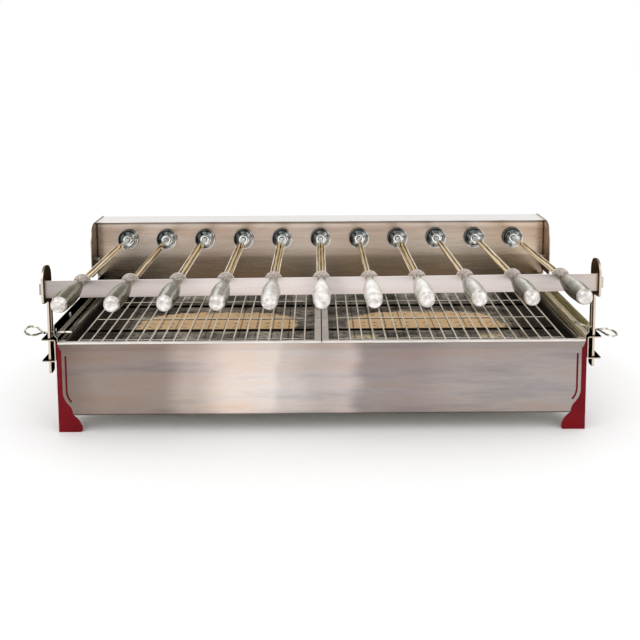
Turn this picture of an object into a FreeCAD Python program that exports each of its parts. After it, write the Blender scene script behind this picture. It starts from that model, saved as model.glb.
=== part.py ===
import FreeCAD, Part
import math
import os

# Table-top charcoal grill with a row of turning skewers.
# Millimetres. +X right, +Y to the back, +Z up, origin under the middle of the grill
# on the surface it stands on. The cook stands at -Y. A station is a distance along a
# skewer, forward from the face of the drive housing.

Vec = FreeCAD.Vector
right = Vec(1, 0, 0)
back = Vec(0, 1, 0)
up = Vec(0, 0, 1)
past = 1.0
touch = 0.01

# Chain drive, which sets the skewers' pitch
chain_link = 12.7
links_between = 7
sprocket_teeth = 12
roller_radius = 4.1
tooth_height = 2.5
sprocket_thick = 3.0
sprocket_depth = 17.5
sprocket_hub = 12.0
sprocket_hub_length = 5.0
link_plate = 1.2
link_plate_half = 5.5
link_plate_gap = 5.0

# Skewer row
skewer_count = 11
skewer_rise_deg = 0.9
bar_lean_deg = 0.42
end_room = 55.5
socket_above_rim = 113.0
quarter_turns = [0, 1, 0, 0, 0, 0, 1, 0, 1, 1, 0]

# Skewer blade
tip_side = 8.0
tip_depth = 20.0
tip_shoulder = 3.0
socket_play = 0.4
tang_width = 10.0
tang_thick = 3.0
tang_overlap = 24.0
tang_rivets = [6.0, 18.0]
tang_rivet_radius = 2.3
tang_rivet_head = 1.1
blade_start = 72.0
blade_taper = 36.0
blade_arm = 9.0
blade_lift = 3.0
blade_thick = 1.5
neck_radius = 4.5
neck_free = 8.0
neck_overlap = 14.0
guard_radius = 17.0
guard_thick = 3.0
guard_edge = 1.2
journal_radius = 7.0
journal_reach = 4.0
spigot_length = 30.0

# Handle outline: radius, and distance from the neck or from the end
handle_gap = 2.0
handle_length = 165.0
handle_neck = 5.4
handle_throat = (8.6, 16.0)
handle_shoulder = (12.2, 40.0)
handle_flank = (14.8, 63.0)
handle_belly = (16.4, 62.0)
handle_heel = (15.7, 33.0)
handle_round = (14.4, 12.0)
nose_rim = (12.4, 4.0)
nose_bow = (9.8, 1.2)
nose_flat = 6.0

# Firebox
firebox_depth = 446.0
rim_height = 177.0
wall_rise = 32.0
wall_jog = 5.5
wall_jog_above_rim = 6.5
wall_corner = 5.0
panel_bottom = 34.0
panel_sheet = 1.5
sheet = 1.2
floor_setback = 14.0
apron_drop = 14.0

# Front panel's shaped ends, measured in from the walls, and the slot beside each
panel_top_inset = 2.0
panel_side_inset = 8.2
panel_foot_inset = 26.3
ear_drop = 4.0
ear_bow = (4.2, 11.0)
ear_end = 17.0
curve_top = 42.0
curve_upper = (3.2, 31.0)
curve_middle = (9.8, 21.0)
curve_lower = (2.4, 13.0)
curve_end = 3.0
panel_fold = 14.0
slot_inset = 15.7
slot_width = 3.6
slot_drop = 28.5
slot_bend = 49.0
slot_middle = (1.9, 37.0)
slot_tail = (7.6, 27.0)

# Legs
leg_sheet = 2.0
leg_drop = 2.0
leg_side_width = 60.0
leg_side_cut = 40.0
leg_side_bow = (7.0, 26.0)
leg_side_foot = 12.0
foot_inset = 43.4
foot_bow = (5.6, 21.6)
foot_corner = 6.0

# Ember trays
tray_depth = 27.0
tray_flange = 11.0
tray_gap = 2.0
tray_lip = 3.8
tray_front_room = 1.5
tray_back_room = 2.0
lip_bend = 1.2
plank_end = 8.0
front_slot_from_front = 170.0
front_slot_width = 12.0
back_slot_from_back = 80.0
back_slot_width = 20.0
vent_radius = 3.0
vent_pitch = 33.5
vent_end_room = 35.0
rows_by_front_slot = [-110.0, -85.0, -53.0, -28.0, 20.0, 50.0]
rows_by_back_slot = [-76.0, -51.0]
end_slot_rows = [-21.0, 42.0]
end_slot_inner = 32.0
end_slot_outer = 47.0
end_slot_length = 14.0
end_slot_width = 5.0
strip_hole_radius = 2.5
strip_hole_pitch = 71.0
strip_hole_first = 89.0
strip_hole_last_room = 60.0

# Wire grates
grate_rods = 20
grate_wire = 1.5
grate_foot_wire = 2.0
grate_stand = 15.0
grate_inner_room = 19.5
grate_outer_room = 16.3
grate_front_room = 10.0
grate_back_room = 18.0
cross_front = 60.0
cross_middle = 210.0
cross_from_back = 95.0
weld_sink = 0.6

# Skewer rest
bar_forward = 17.44
bar_height = 32.3
bar_thick = 3.0
bar_above_axis = 6.1
bar_end_gap = 0.3
notch_clear = 0.4
tab_height = 21.0
tab_stand = 6.0
plate_outboard = 13.0
plate_thick = 4.0
head_forward = 28.0
head_back = 31.0
head_above_bar = 24.6
head_below_bar = 11.1
head_round = 26.0
head_corner = 10.0
head_inner_corner = 5.0
post_width = 26.0
post_corner = 6.0
post_below_bracket = 21.0
rest_drop = 55.0

# Guide brackets
bracket_above_rim = 5.0
bracket_below_rim = 38.0
bracket_reach = 29.0
bracket_length = 58.0
bracket_forward = 1.0
bracket_sheet = 2.0
bracket_bend = 2.0
bracket_corner = 6.0
post_clear = 0.5

# Ring pins, each bent from one wire
pin_above_rim = 14.5
pin_station = 18.0
pin_radius = 2.2
pin_nose = 1.0
pin_bend_overlap = 1.2
pin_inside = 26.0
pin_hole_clear = 0.8
pin_slot_rise = 6.0
ring_radius = 14.0
ring_reach = 66.0
ring_opening_deg = 40.0
ring_tail = 10.0
ring_tail_rise_deg = 12.0
left_ring_tilt_deg = 12.0
left_ring_lean_deg = 18.0
right_ring_tilt_deg = 6.0
right_ring_lean_deg = 14.0
right_pin_droop_deg = 18.7

# Drive housing
housing_overhang = 17.3
housing_depth = 82.0
housing_above_sprocket = 13.0
housing_below_rim = 27.0
cheek_sheet = 2.0
cheek_reach = 61.0
cheek_proud = 2.0
cheek_radius = 45.0
cheek_corner = 8.0
cheek_top_corner = 4.0
cheek_above_wall = 3.0
air_slots = 9
air_slot_pitch = 12.0
air_slot_width = 4.0
air_slot_drop = 54.0
air_slot_length = 40.0

# Spindles, bushes and bearing plate
cup_radius = 22.8
cup_depth = 8.0
cup_gap = 2.0
cup_wall = 1.2
cup_waist_inset = 4.6
cup_waist_rise = 1.3
boss_radius = 9.5
boss_length = 16.0
mouth_radius = 6.4
mouth_depth = 3.0
set_screw_radius = 2.2
set_screw_back = 5.4
set_screw_cover = 1.5
set_screw_proud = 2.0
shaft_radius = 8.0
shaft_back = 40.0
bush_play = 0.05
bush_radius = 11.0
bush_flange_radius = 13.5
bush_flange = 2.0
bush_length = 8.0
bush_gap = 0.6
rear_bush_gap = 0.3
bearing_depth = 29.0
bearing_sheet = 2.0
bearing_margin = 7.0

# Gearmotor on the middle spindle
gearbox_margin = 2.0
gearbox_depth = 22.0
gearbox_corner = 6.0
gearbox_stand = 2.5
gearbox_bore_depth = 8.0
standoff_radius = 3.5
standoff_inset = 8.0
motor_radius = 21.0
motor_depth = 17.0
motor_edge = 2.5

# Inlet with switch, on the back of the housing
inlet_from_end = 87.3
inlet_below_axis = 55.0
inlet_width = 30.0
inlet_height = 58.0
inlet_flange = 3.0
inlet_corner = 3.0
inlet_body_depth = 26.0
inlet_body_inset = 2.5
lead_socket_drop = 13.0
lead_socket_width = 22.0
lead_socket_height = 16.0
lead_socket_recess = 16.0
contact_half = 1.0
contact_rise = 2.0
contact_spacing = 7.0
contact_set_back = 2.0
window_rise = 14.0
window_width = 20.0
window_height = 18.0
window_recess = 8.0
rocker_gap = 0.6
rocker_tip_gap = 1.6
rocker_pivot_depth = 4.0
rocker_proud = 1.0
rocker_heel = 3.0
rocker_heel_in = 1.5
rocker_hollow = 1.2
rocker_reach = 2.0
rocker_tilt_deg = 8.0

# Rivet heads
rivet_radius = 4.0
rivet_height = 1.8
rivet_edge = 0.9
bracket_rivet_rows = [8.0, 50.0]
cheek_rivet_inset = 12.0
cheek_rivet_rows = [25.0, 90.0, 155.0]
cover_rivet_inset = 8.0
cover_rivets = 4

# Places worked out from the sizes above
skewer_pitch = chain_link * links_between
wall_half = skewer_pitch * (skewer_count - 1) / 2 + end_room
middle_skewer = (skewer_count + 1) / 2
sprocket_pitch_radius = chain_link / 2 / math.sin(math.pi / sprocket_teeth)
sprocket_tip = sprocket_pitch_radius + tooth_height
rise = math.radians(skewer_rise_deg)
lean_slope = math.tan(math.radians(bar_lean_deg))

bar_station = (firebox_depth + bar_forward) / math.cos(rise)
guard_back = bar_station - bar_thick / 2 - journal_reach
journal_end = bar_station + bar_thick / 2 + journal_reach
handle_start = journal_end + handle_gap
handle_end = handle_start + handle_length
front_reach = handle_end * math.cos(rise) - firebox_depth
back_reach = firebox_depth + housing_depth + inlet_flange + rocker_reach
front_y = (front_reach - back_reach) / 2
face_y = front_y + firebox_depth
back_y = face_y + housing_depth
bar_y = face_y - bar_station * math.cos(rise) - bar_thick / 2

leg_front_y = front_y + panel_sheet
box_front_y = leg_front_y + leg_sheet
rear_leg_y = face_y - leg_sheet
rear_wall_y = rear_leg_y - sheet
leg_half = wall_half + leg_sheet
wall_inside = wall_half - sheet
wall_height = rim_height + wall_rise
upper_wall = wall_half + wall_jog
jog_height = rim_height + wall_jog_above_rim
rim_under = rim_height - panel_sheet

tray_floor = rim_height - tray_depth
tray_inner = tray_gap / 2 + tray_flange
tray_outer = wall_inside - tray_flange
tray_front_y = box_front_y + tray_front_room
tray_back_y = rear_wall_y - tray_back_room
front_slot_y = front_y + front_slot_from_front
back_slot_y = face_y - back_slot_from_back
grate_height = tray_floor + grate_stand
grate_under = grate_height - 2 * grate_wire + weld_sink
grate_first = tray_inner + panel_sheet + grate_inner_room
grate_last = tray_outer - panel_sheet - grate_outer_room
grate_pitch = (grate_last - grate_first) / (grate_rods - 1)

socket_height = rim_height + socket_above_rim
axis_at_bar = socket_height + bar_station * math.sin(rise)
bar_top = axis_at_bar + bar_above_axis
bar_bottom = bar_top - bar_height
bar_middle = bar_top - bar_height / 2
plate_inside = wall_half + plate_outboard
plate_outside = plate_inside + plate_thick
plate_lift = (plate_inside + plate_thick / 2) * lean_slope
bar_half = plate_inside - bar_end_gap
tab_end = plate_outside + tab_stand
head_front_y = front_y - head_forward
post_back_y = front_y + head_back
post_front_y = post_back_y - post_width
head_top = bar_top + head_above_bar
head_bottom = bar_bottom - head_below_bar
bracket_top = rim_height + bracket_above_rim
bracket_bottom = rim_height - bracket_below_rim
bracket_outside = wall_half + bracket_reach
post_bottom = bracket_bottom - post_below_bracket
pin_y = front_y + pin_station
pin_height = rim_height + pin_above_rim
pin_inner_end = wall_half - pin_inside
pin_hole = pin_radius + pin_hole_clear
ring_x = wall_half + ring_reach - ring_radius - pin_radius
ring_opening = math.radians(ring_opening_deg)
elbow_x = ring_x - ring_radius / math.cos(ring_opening)

housing_half = wall_half + housing_overhang
housing_top = socket_height + sprocket_tip + housing_above_sprocket
housing_bottom = rim_height - housing_below_rim
cheek_top = housing_top + cheek_proud
cheek_foot = wall_height + cheek_above_wall
bearing_half = sprocket_tip + bearing_margin
bearing_back = bearing_depth + bearing_sheet
gearbox_half = bearing_half - gearbox_margin
gearbox_front = bearing_back + gearbox_stand
gearbox_back = gearbox_front + gearbox_depth
inlet_x = housing_half - inlet_from_end
inlet_z = socket_height - inlet_below_axis
inlet_front = back_y + inlet_flange
half_socket = tip_side / 2 + socket_play / 2


def block(x0, x1, y0, y1, z0, z1):
    """A box between two corners."""
    return Part.makeBox(x1 - x0, y1 - y0, z1 - z0, Vec(x0, y0, z0))


def rod(radius, start, direction, length):
    """A round bar from a point."""
    return Part.makeCylinder(radius, length, start, direction)


def face_of(steps):
    """A flat face. A step is a corner, or a pair of points for an arc through one to the other."""
    edges = []
    at = steps[0]
    for step in steps[1:]:
        if isinstance(step, tuple):
            edges.append(Part.Arc(at, step[0], step[1]).toShape())
            at = step[1]
        else:
            edges.append(Part.makeLine(at, step))
            at = step
    if at.distanceToPoint(steps[0]) > touch:
        edges.append(Part.makeLine(at, steps[0]))
    return Part.Face(Part.Wire(edges))


def bow(radius):
    """How far the middle of a quarter arc stays from the square corner, along each side."""
    return radius * (1 - math.sqrt(0.5))


def mirror_x(shape):
    """The same piece on the other side of the grill."""
    return shape.mirror(Vec(0, 0, 0), right)


def one(shapes):
    """Several overlapping solids as one piece."""
    return shapes[0].multiFuse(shapes[1:]).removeSplitter()


def edges_along(shape, direction, x=None, y=None, z=None):
    """The edges that run along a direction, at the places given."""
    found = []
    for edge in shape.Edges:
        middle = edge.CenterOfMass
        if abs(edge.tangentAt(edge.FirstParameter).dot(direction)) < 1 - touch:
            continue
        if x is not None and abs(middle.x - x) > touch:
            continue
        if y is not None and abs(middle.y - y) > touch:
            continue
        if z is not None and abs(middle.z - z) > touch:
            continue
        found.append(edge)
    return found


def skewer_x(number):
    return skewer_pitch * (number - middle_skewer)


def along(station):
    """A point on a skewer's own axis."""
    return Vec(0, -station, 0)


def at(radius, station):
    """A point of a turned piece's outline, beside its axis."""
    return Vec(radius, -station, 0)


def rise_at(number):
    """How far a skewer leans back, in degrees: it points at its notch in the leaning bar."""
    lift = bar_station * math.sin(rise) + skewer_x(number) * lean_slope
    return math.degrees(math.asin(lift / bar_station))


def set_on_axis(shape, number, turns=0):
    """Turns a piece made on the Y axis by quarter turns, leans it and puts it at its skewer."""
    placed = shape.copy()
    placed.rotate(Vec(0, 0, 0), back, 90 * turns)
    placed.rotate(Vec(0, 0, 0), right, -rise_at(number))
    placed.translate(Vec(skewer_x(number), face_y, socket_height))
    return placed


# Skewers

def v_blade():
    """The V-shaped blade, tapered into the tang at its back end."""
    slope = blade_thick * math.sqrt(2)
    apex = blade_lift - blade_arm
    y = -blade_start
    profile = face_of([
        Vec(-blade_arm, y, blade_lift),
        Vec(0, y, apex),
        Vec(blade_arm, y, blade_lift),
        Vec(blade_arm - slope, y, blade_lift),
        Vec(0, y, apex + slope),
        Vec(slope - blade_arm, y, blade_lift),
    ])
    blade = profile.extrude(along(guard_back - neck_free - blade_start))
    side = -blade_arm - past
    taper = face_of([
        Vec(side, y + past, apex + slope),
        Vec(side, y - blade_taper, blade_lift + past),
        Vec(side, y + past, blade_lift + past),
    ])
    return blade.cut(taper.extrude(Vec(-2 * side, 0, 0)))


def blade_piece():
    """A skewer without its handle: square tip, riveted tang, V blade, guard disc and journal."""
    tang_end = blade_start + tang_overlap
    tang = block(-tang_width / 2, tang_width / 2, -tang_end, -boss_length,
                 -tang_thick / 2, tang_thick / 2)
    pieces = [v_blade(), tang]
    for inset in tang_rivets:
        start = Vec(0, inset - tang_end, 0)
        pieces.append(rod(tang_rivet_radius, start, up, tang_thick / 2 + tang_rivet_head))
    half = tip_side / 2
    pieces.append(block(-half, half, -boss_length - tip_shoulder, tip_depth - boss_length,
                        -half, half))
    neck_start = guard_back - neck_free - neck_overlap
    pieces.append(rod(neck_radius, along(neck_start), along(1), guard_back - neck_start))
    guard = rod(guard_radius, along(guard_back - guard_thick), along(1), guard_thick)
    rims = [e for e in guard.Edges if e.Length > math.pi * guard_radius]
    pieces.append(guard.makeFillet(guard_edge, rims))
    pieces.append(rod(journal_radius, along(guard_back - past), along(1),
                      journal_end - guard_back + past))
    pieces.append(rod(neck_radius, along(journal_end - past), along(1),
                      past + handle_gap + spigot_length))
    return one(pieces)


def handle_piece():
    """A cast teardrop handle: a thin neck that swells to a heavy rounded end."""
    points = [at(handle_neck, handle_start)]
    for radius, room in (handle_throat, handle_shoulder, handle_flank):
        points.append(at(radius, handle_start + room))
    for radius, room in (handle_belly, handle_heel, handle_round, nose_rim):
        points.append(at(radius, handle_end - room))
    curve = Part.BSplineCurve()
    curve.interpolate(points)
    nose_end = at(nose_flat, handle_end)
    nose = Part.Arc(points[-1], at(nose_bow[0], handle_end - nose_bow[1]), nose_end)
    wire = Part.Wire([
        curve.toShape(),
        nose.toShape(),
        Part.makeLine(nose_end, along(handle_end)),
        Part.makeLine(along(handle_end), along(handle_start)),
        Part.makeLine(along(handle_start), points[0]),
    ])
    body = Part.Face(wire).revolve(Vec(0, 0, 0), back, 360)
    return body.cut(rod(neck_radius, along(handle_start - past), along(1), past + spigot_length))


# Spindles and drive

def sprocket_piece():
    """A chain sprocket with its hub, in the middle of the chain."""
    y = sprocket_depth + sprocket_thick / 2
    plate = rod(sprocket_tip, Vec(0, y, 0), along(1), sprocket_thick)
    seats = []
    for n in range(sprocket_teeth):
        turn = 2 * math.pi * (n + 0.5) / sprocket_teeth
        x = sprocket_pitch_radius * math.cos(turn)
        z = sprocket_pitch_radius * math.sin(turn)
        seats.append(rod(roller_radius, Vec(x, y + past, z), along(1), sprocket_thick + 2 * past))
    plate = plate.cut(Part.makeCompound(seats))
    hub_back = y + sprocket_hub_length
    hub = rod(sprocket_hub, Vec(0, hub_back, 0), along(1), sprocket_hub_length)
    bore = rod(shaft_radius, Vec(0, hub_back + past, 0), along(1),
               sprocket_thick + sprocket_hub_length + 2 * past)
    return plate.fuse(hub).cut(bore).removeSplitter()


def spindle_shaft():
    """A cup with a square socket and a set screw, turned in one piece with its shaft."""
    rim = cup_gap + cup_depth
    waist = cup_radius - cup_waist_inset
    waist_station = cup_gap + cup_waist_rise
    mouth = boss_length - mouth_depth
    profile = face_of([
        at(0, -shaft_back),
        at(shaft_radius, -shaft_back),
        at(shaft_radius, cup_gap),
        at(boss_radius, cup_gap),
        (at(waist, waist_station), at(cup_radius, rim)),
        at(cup_radius - cup_wall, rim),
        (at(waist - cup_wall, waist_station + cup_wall), at(boss_radius, cup_gap + cup_wall)),
        at(boss_radius, boss_length),
        at(mouth_radius, boss_length),
        at(mouth_radius, mouth),
        at(0, mouth),
    ])
    body = profile.revolve(Vec(0, 0, 0), back, 360)
    bore = block(-half_socket, half_socket, -boss_length - past, tip_depth - boss_length + past,
                 -half_socket, half_socket)
    start = half_socket + set_screw_cover
    screw = rod(set_screw_radius, Vec(0, set_screw_back - boss_length, start), up,
                boss_radius + set_screw_proud - start)
    screw.rotate(Vec(0, 0, 0), back, -45)
    return body.cut(bore).fuse(screw)


def bush_piece(front, flange_front, end):
    """A flanged bush round a spindle's shaft, between two stations."""
    body = rod(bush_radius, along(end), along(1), front - end)
    flange = rod(bush_flange_radius, along(flange_front - bush_flange), along(1), bush_flange)
    bore = rod(shaft_radius + bush_play, along(end - past), along(1), front - end + 2 * past)
    return body.fuse(flange).cut(bore).removeSplitter()


def bushes_piece():
    """Two flanged bushes for each spindle, one in the housing's face and one in the bearing plate."""
    flange_front = -sheet - bush_gap
    front_bush = bush_piece(0, flange_front, flange_front - bush_length)
    flange_front = -bearing_back - rear_bush_gap
    rear_bush = bush_piece(-bearing_depth, flange_front, flange_front - bush_flange)
    bushes = []
    for n in range(1, skewer_count + 1):
        bushes.append(set_on_axis(front_bush, n))
        bushes.append(set_on_axis(rear_bush, n))
    return Part.makeCompound(bushes)


def chain_band(y):
    """The link plates on one side of the chain, as one endless band round the end sprockets."""
    reach = skewer_x(skewer_count)

    def loop(r):
        return face_of([
            Vec(-reach, y, -r),
            Vec(reach, y, -r),
            (Vec(reach + r, y, 0), Vec(reach, y, r)),
            Vec(-reach, y, r),
            (Vec(-reach - r, y, 0), Vec(-reach, y, -r)),
        ])

    outer = loop(sprocket_pitch_radius + link_plate_half)
    inner = loop(sprocket_pitch_radius - link_plate_half)
    return outer.cut(inner).extrude(Vec(0, -link_plate, 0))


def chain_piece():
    """Both rows of link plates, on either side of the sprockets."""
    front_band = chain_band(sprocket_depth - link_plate_gap / 2)
    back_band = chain_band(sprocket_depth + link_plate_gap / 2 + link_plate)
    return set_on_axis(Part.makeCompound([front_band, back_band]), middle_skewer)


def bearing_plate_piece():
    """The plate inside the housing that carries the back ends of the spindles."""
    plate = block(-housing_half, housing_half, bearing_depth, bearing_back, -bearing_half, bearing_half)
    plate = set_on_axis(plate, middle_skewer)
    hole = rod(bush_radius, Vec(0, bearing_depth - past, 0), back, bearing_sheet + 2 * past)
    for n in range(1, skewer_count + 1):
        plate = plate.cut(set_on_axis(hole, n))
    return plate


def gearmotor_piece():
    """A flat gearbox with its motor, on the middle spindle, standing off the bearing plate."""
    half = gearbox_half
    box = block(-half, half, gearbox_front, gearbox_back, -half, half)
    pieces = [box.makeFillet(gearbox_corner, edges_along(box, back))]
    can = rod(motor_radius, Vec(0, gearbox_back - past, 0), back, motor_depth + past)
    rim = [e for e in can.Edges if abs(e.CenterOfMass.y - gearbox_back - motor_depth) < touch]
    pieces.append(can.makeFillet(motor_edge, rim))
    place = half - standoff_inset
    for x in (-place, place):
        for z in (-place, place):
            start = Vec(x, bearing_back, z)
            pieces.append(rod(standoff_radius, start, back, gearbox_stand + past))
    bore = rod(shaft_radius + bush_play, Vec(0, gearbox_front - past, 0), back,
               gearbox_bore_depth + past)
    return set_on_axis(one(pieces).cut(bore), middle_skewer)


# Housing

def housing_face_piece():
    """The upright sheet that the spindles come through."""
    plate = block(-housing_half, housing_half, face_y, face_y + sheet, housing_bottom,
                  housing_top - panel_sheet)
    hole = rod(bush_radius, along(sheet + past), back, 2 * sheet + 2 * past)
    for n in range(1, skewer_count + 1):
        plate = plate.cut(set_on_axis(hole, n))
    return plate


def inlet_body():
    """The part of the inlet that sits in the cover's cut-out."""
    half_x = inlet_width / 2 - inlet_body_inset
    half_z = inlet_height / 2 - inlet_body_inset
    return block(inlet_x - half_x, inlet_x + half_x, back_y - inlet_body_depth, back_y + touch,
                 inlet_z - half_z, inlet_z + half_z)


def housing_cover_piece():
    """Top and back in one bent sheet, with air slots behind the motor and the inlet's cut-out."""
    t = panel_sheet
    top = block(-housing_half, housing_half, face_y, back_y, housing_top - t, housing_top)
    rear = block(-housing_half, housing_half, back_y - t, back_y, housing_bottom, housing_top)
    cover = top.fuse(rear).removeSplitter()
    cover = cover.makeFillet(t, edges_along(cover, right, y=back_y, z=housing_top))
    cuts = [inlet_body()]
    high = socket_height - air_slot_drop
    for n in range(air_slots):
        x = air_slot_pitch * (n - (air_slots - 1) / 2)
        cuts.append(block(x - air_slot_width / 2, x + air_slot_width / 2, back_y - t - past,
                          back_y + past, high - air_slot_length, high))
    return cover.cut(Part.makeCompound(cuts))


def housing_base_piece():
    """The sheet that closes the housing from below."""
    return block(-housing_half, housing_half, face_y + sheet, back_y - panel_sheet, housing_bottom,
                 housing_bottom + panel_sheet)


def cheeks_piece():
    """The housing's end plates, which stand forward of its face with a round corner."""
    x = housing_half
    front = face_y - cheek_reach
    r = cheek_radius
    c = cheek_corner
    k = cheek_top_corner
    cheek = face_of([
        Vec(x, back_y, housing_bottom),
        Vec(x, back_y, cheek_top - k),
        (Vec(x, back_y - bow(k), cheek_top - bow(k)), Vec(x, back_y - k, cheek_top)),
        Vec(x, front + r, cheek_top),
        (Vec(x, front + bow(r), cheek_top - bow(r)), Vec(x, front, cheek_top - r)),
        Vec(x, front, cheek_foot + c),
        (Vec(x, front + bow(c), cheek_foot + bow(c)), Vec(x, front + c, cheek_foot)),
        Vec(x, face_y, cheek_foot),
        Vec(x, face_y, housing_bottom),
    ]).extrude(Vec(cheek_sheet, 0, 0))
    return Part.makeCompound([cheek, mirror_x(cheek)])


def inlet_piece():
    """Power inlet and switch frame in one moulding: an empty socket and a window for the rocker."""
    half_x = inlet_width / 2
    half_z = inlet_height / 2
    flange = block(inlet_x - half_x, inlet_x + half_x, back_y, inlet_front,
                   inlet_z - half_z, inlet_z + half_z)
    flange = flange.makeFillet(inlet_corner, edges_along(flange, back))
    socket_z = inlet_z - lead_socket_drop
    floor = inlet_front - lead_socket_recess
    recess = block(inlet_x - lead_socket_width / 2, inlet_x + lead_socket_width / 2,
                   floor, inlet_front + past,
                   socket_z - lead_socket_height / 2, socket_z + lead_socket_height / 2)
    window_z = inlet_z + window_rise
    window = block(inlet_x - window_width / 2, inlet_x + window_width / 2,
                   back_y - window_recess, inlet_front + past,
                   window_z - window_height / 2, window_z + window_height / 2)
    pieces = [flange.fuse(inlet_body()).cut(recess).cut(window)]
    for side in (-1, 0, 1):
        x = inlet_x + side * contact_spacing
        z = socket_z + contact_rise - 2 * contact_rise * abs(side)
        pieces.append(block(x - contact_half, x + contact_half, floor - past,
                            back_y - contact_set_back, z - contact_rise, z + contact_rise))
    return one(pieces)


def rocker_piece():
    """The switch's rocker, resting with its lower half pressed in."""
    half_x = window_width / 2 - rocker_gap
    half_z = window_height / 2 - rocker_tip_gap
    heel_z = half_z - rocker_heel_in
    top = rocker_pivot_depth + rocker_proud
    body = face_of([
        Vec(-half_x, -rocker_heel, -heel_z),
        Vec(-half_x, top, -half_z),
        (Vec(-half_x, top - rocker_hollow, 0), Vec(-half_x, top, half_z)),
        Vec(-half_x, -rocker_heel, heel_z),
    ]).extrude(Vec(2 * half_x, 0, 0))
    body.rotate(Vec(0, 0, 0), right, rocker_tilt_deg)
    body.translate(Vec(inlet_x, inlet_front - rocker_pivot_depth, inlet_z + window_rise))
    return body


# Firebox

def panel_end():
    """The shaped right end of the front panel, as steps from its top to its bottom."""

    def place(inset, z):
        return Vec(wall_half - inset, front_y, z)

    side = panel_side_inset
    foot = panel_foot_inset
    return [
        place(panel_top_inset, rim_under),
        place(panel_top_inset, rim_height - ear_drop),
        (place(side - ear_bow[0], rim_height - ear_bow[1]), place(side, rim_height - ear_end)),
        place(side, panel_bottom + curve_top),
        (place(side + curve_upper[0], panel_bottom + curve_upper[1]),
         place(side + curve_middle[0], panel_bottom + curve_middle[1])),
        (place(foot - curve_lower[0], panel_bottom + curve_lower[1]),
         place(foot, panel_bottom + curve_end)),
        place(foot, panel_bottom),
    ]


def panel_slot():
    """The slim slot beside the panel's right end: a straight run with a curved tail."""
    depth = Vec(0, panel_sheet + 2 * past, 0)
    y = front_y - past
    x = wall_half - slot_inset
    half = slot_width / 2
    top = Vec(x, y, rim_height - slot_drop)
    bend = Vec(x, y, panel_bottom + slot_bend)
    middle = Vec(x - slot_middle[0], y, panel_bottom + slot_middle[1])
    tail = Vec(x - slot_tail[0], y, panel_bottom + slot_tail[1])
    arc = Part.Arc(bend, middle, tail).toShape().Curve

    def beside(point, out):
        return arc.Center + (point - arc.Center).normalize() * (arc.Radius + out)

    tail_piece = face_of([
        beside(bend, half),
        (beside(middle, half), beside(tail, half)),
        beside(tail, -half),
        (beside(middle, -half), beside(bend, -half)),
    ]).extrude(depth)
    straight = block(x - half, x + half, y, y + depth.y, bend.z, top.z)
    ends = [rod(half, point, back, depth.y) for point in (top, bend, tail)]
    return Part.makeCompound([straight, tail_piece] + ends)


def front_panel_piece():
    """The wide front sheet: shaped ends, a slim slot beside each, and a stiffening fold below."""
    middle_top = Vec(0, front_y, rim_under)
    middle_bottom = Vec(0, front_y, panel_bottom)
    half = face_of([middle_top] + panel_end() + [middle_bottom]).extrude(Vec(0, panel_sheet, 0))
    fold_half = wall_half - panel_foot_inset - panel_sheet
    fold = block(-past, fold_half, front_y, box_front_y + panel_fold, panel_bottom,
                 panel_bottom + panel_sheet)
    half = half.fuse(fold).cut(panel_slot())
    return half.fuse(mirror_x(half)).removeSplitter()


def leg_piece():
    """The front right corner leg: an angle whose front face ends in a round-backed foot."""
    y = leg_front_y
    top = rim_height - leg_drop

    def place(inset, z):
        return Vec(wall_half - inset, y, z)

    front = face_of([
        Vec(leg_half, y, 0),
        Vec(leg_half, y, top),
        place(panel_foot_inset, top),
        place(panel_foot_inset, panel_bottom - past),
        (place(foot_inset - foot_bow[0], foot_bow[1]), place(foot_inset, foot_corner)),
        (place(foot_inset - bow(foot_corner), bow(foot_corner)), place(foot_inset - foot_corner, 0)),
    ]).extrude(Vec(0, leg_sheet, 0))
    rear = y + leg_side_width
    side = face_of([
        Vec(wall_half, y, 0),
        Vec(wall_half, y, top),
        Vec(wall_half, rear, top),
        Vec(wall_half, rear, leg_side_cut),
        (Vec(wall_half, rear - leg_side_bow[0], leg_side_bow[1]),
         Vec(wall_half, rear - leg_side_foot, 0)),
    ]).extrude(Vec(leg_sheet, 0, 0))
    return front.fuse(side).removeSplitter()


def legs_piece(at_back):
    """Both corner legs of the front or of the back."""
    leg = leg_piece()
    if at_back:
        leg = leg.mirror(Vec(0, (leg_front_y + face_y) / 2, 0), back)
    return Part.makeCompound([leg, mirror_x(leg)])


def pin_slot(x0, x1, low, high):
    """An upright slot for the ring pin through a sheet, between the pin's two heights."""
    pieces = [block(x0 - past, x1 + past, pin_y - pin_hole, pin_y + pin_hole, low, high)]
    for z in (low, high):
        pieces.append(rod(pin_hole, Vec(x0 - past, pin_y, z), right, x1 - x0 + 2 * past))
    return Part.makeCompound(pieces)


def side_wall_piece():
    """The right wall, stepped out above the rim, with the ledge that the tray's flange rests on."""
    y = box_front_y
    inner_step = jog_height + sheet * math.tan(math.radians(22.5))
    wall = face_of([
        Vec(wall_inside, y, panel_bottom),
        Vec(wall_half, y, panel_bottom),
        Vec(wall_half, y, jog_height),
        Vec(upper_wall, y, jog_height + wall_jog),
        Vec(upper_wall, y, wall_height),
        Vec(upper_wall - sheet, y, wall_height),
        Vec(upper_wall - sheet, y, inner_step + wall_jog),
        Vec(wall_inside, y, inner_step),
    ]).extrude(Vec(0, rear_leg_y - y, 0))
    wall = wall.makeFillet(wall_corner, edges_along(wall, right, y=y, z=wall_height))
    ledge = block(tray_outer + tray_gap / 2, wall_inside, y, rear_wall_y, rim_under - sheet, rim_under)
    apron = block(wall_inside - sheet, wall_inside, y, rear_wall_y, rim_under - apron_drop, rim_under)
    slot = pin_slot(upper_wall - sheet, upper_wall, pin_height, pin_height + pin_slot_rise)
    return one([wall, ledge, apron]).cut(slot)


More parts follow.
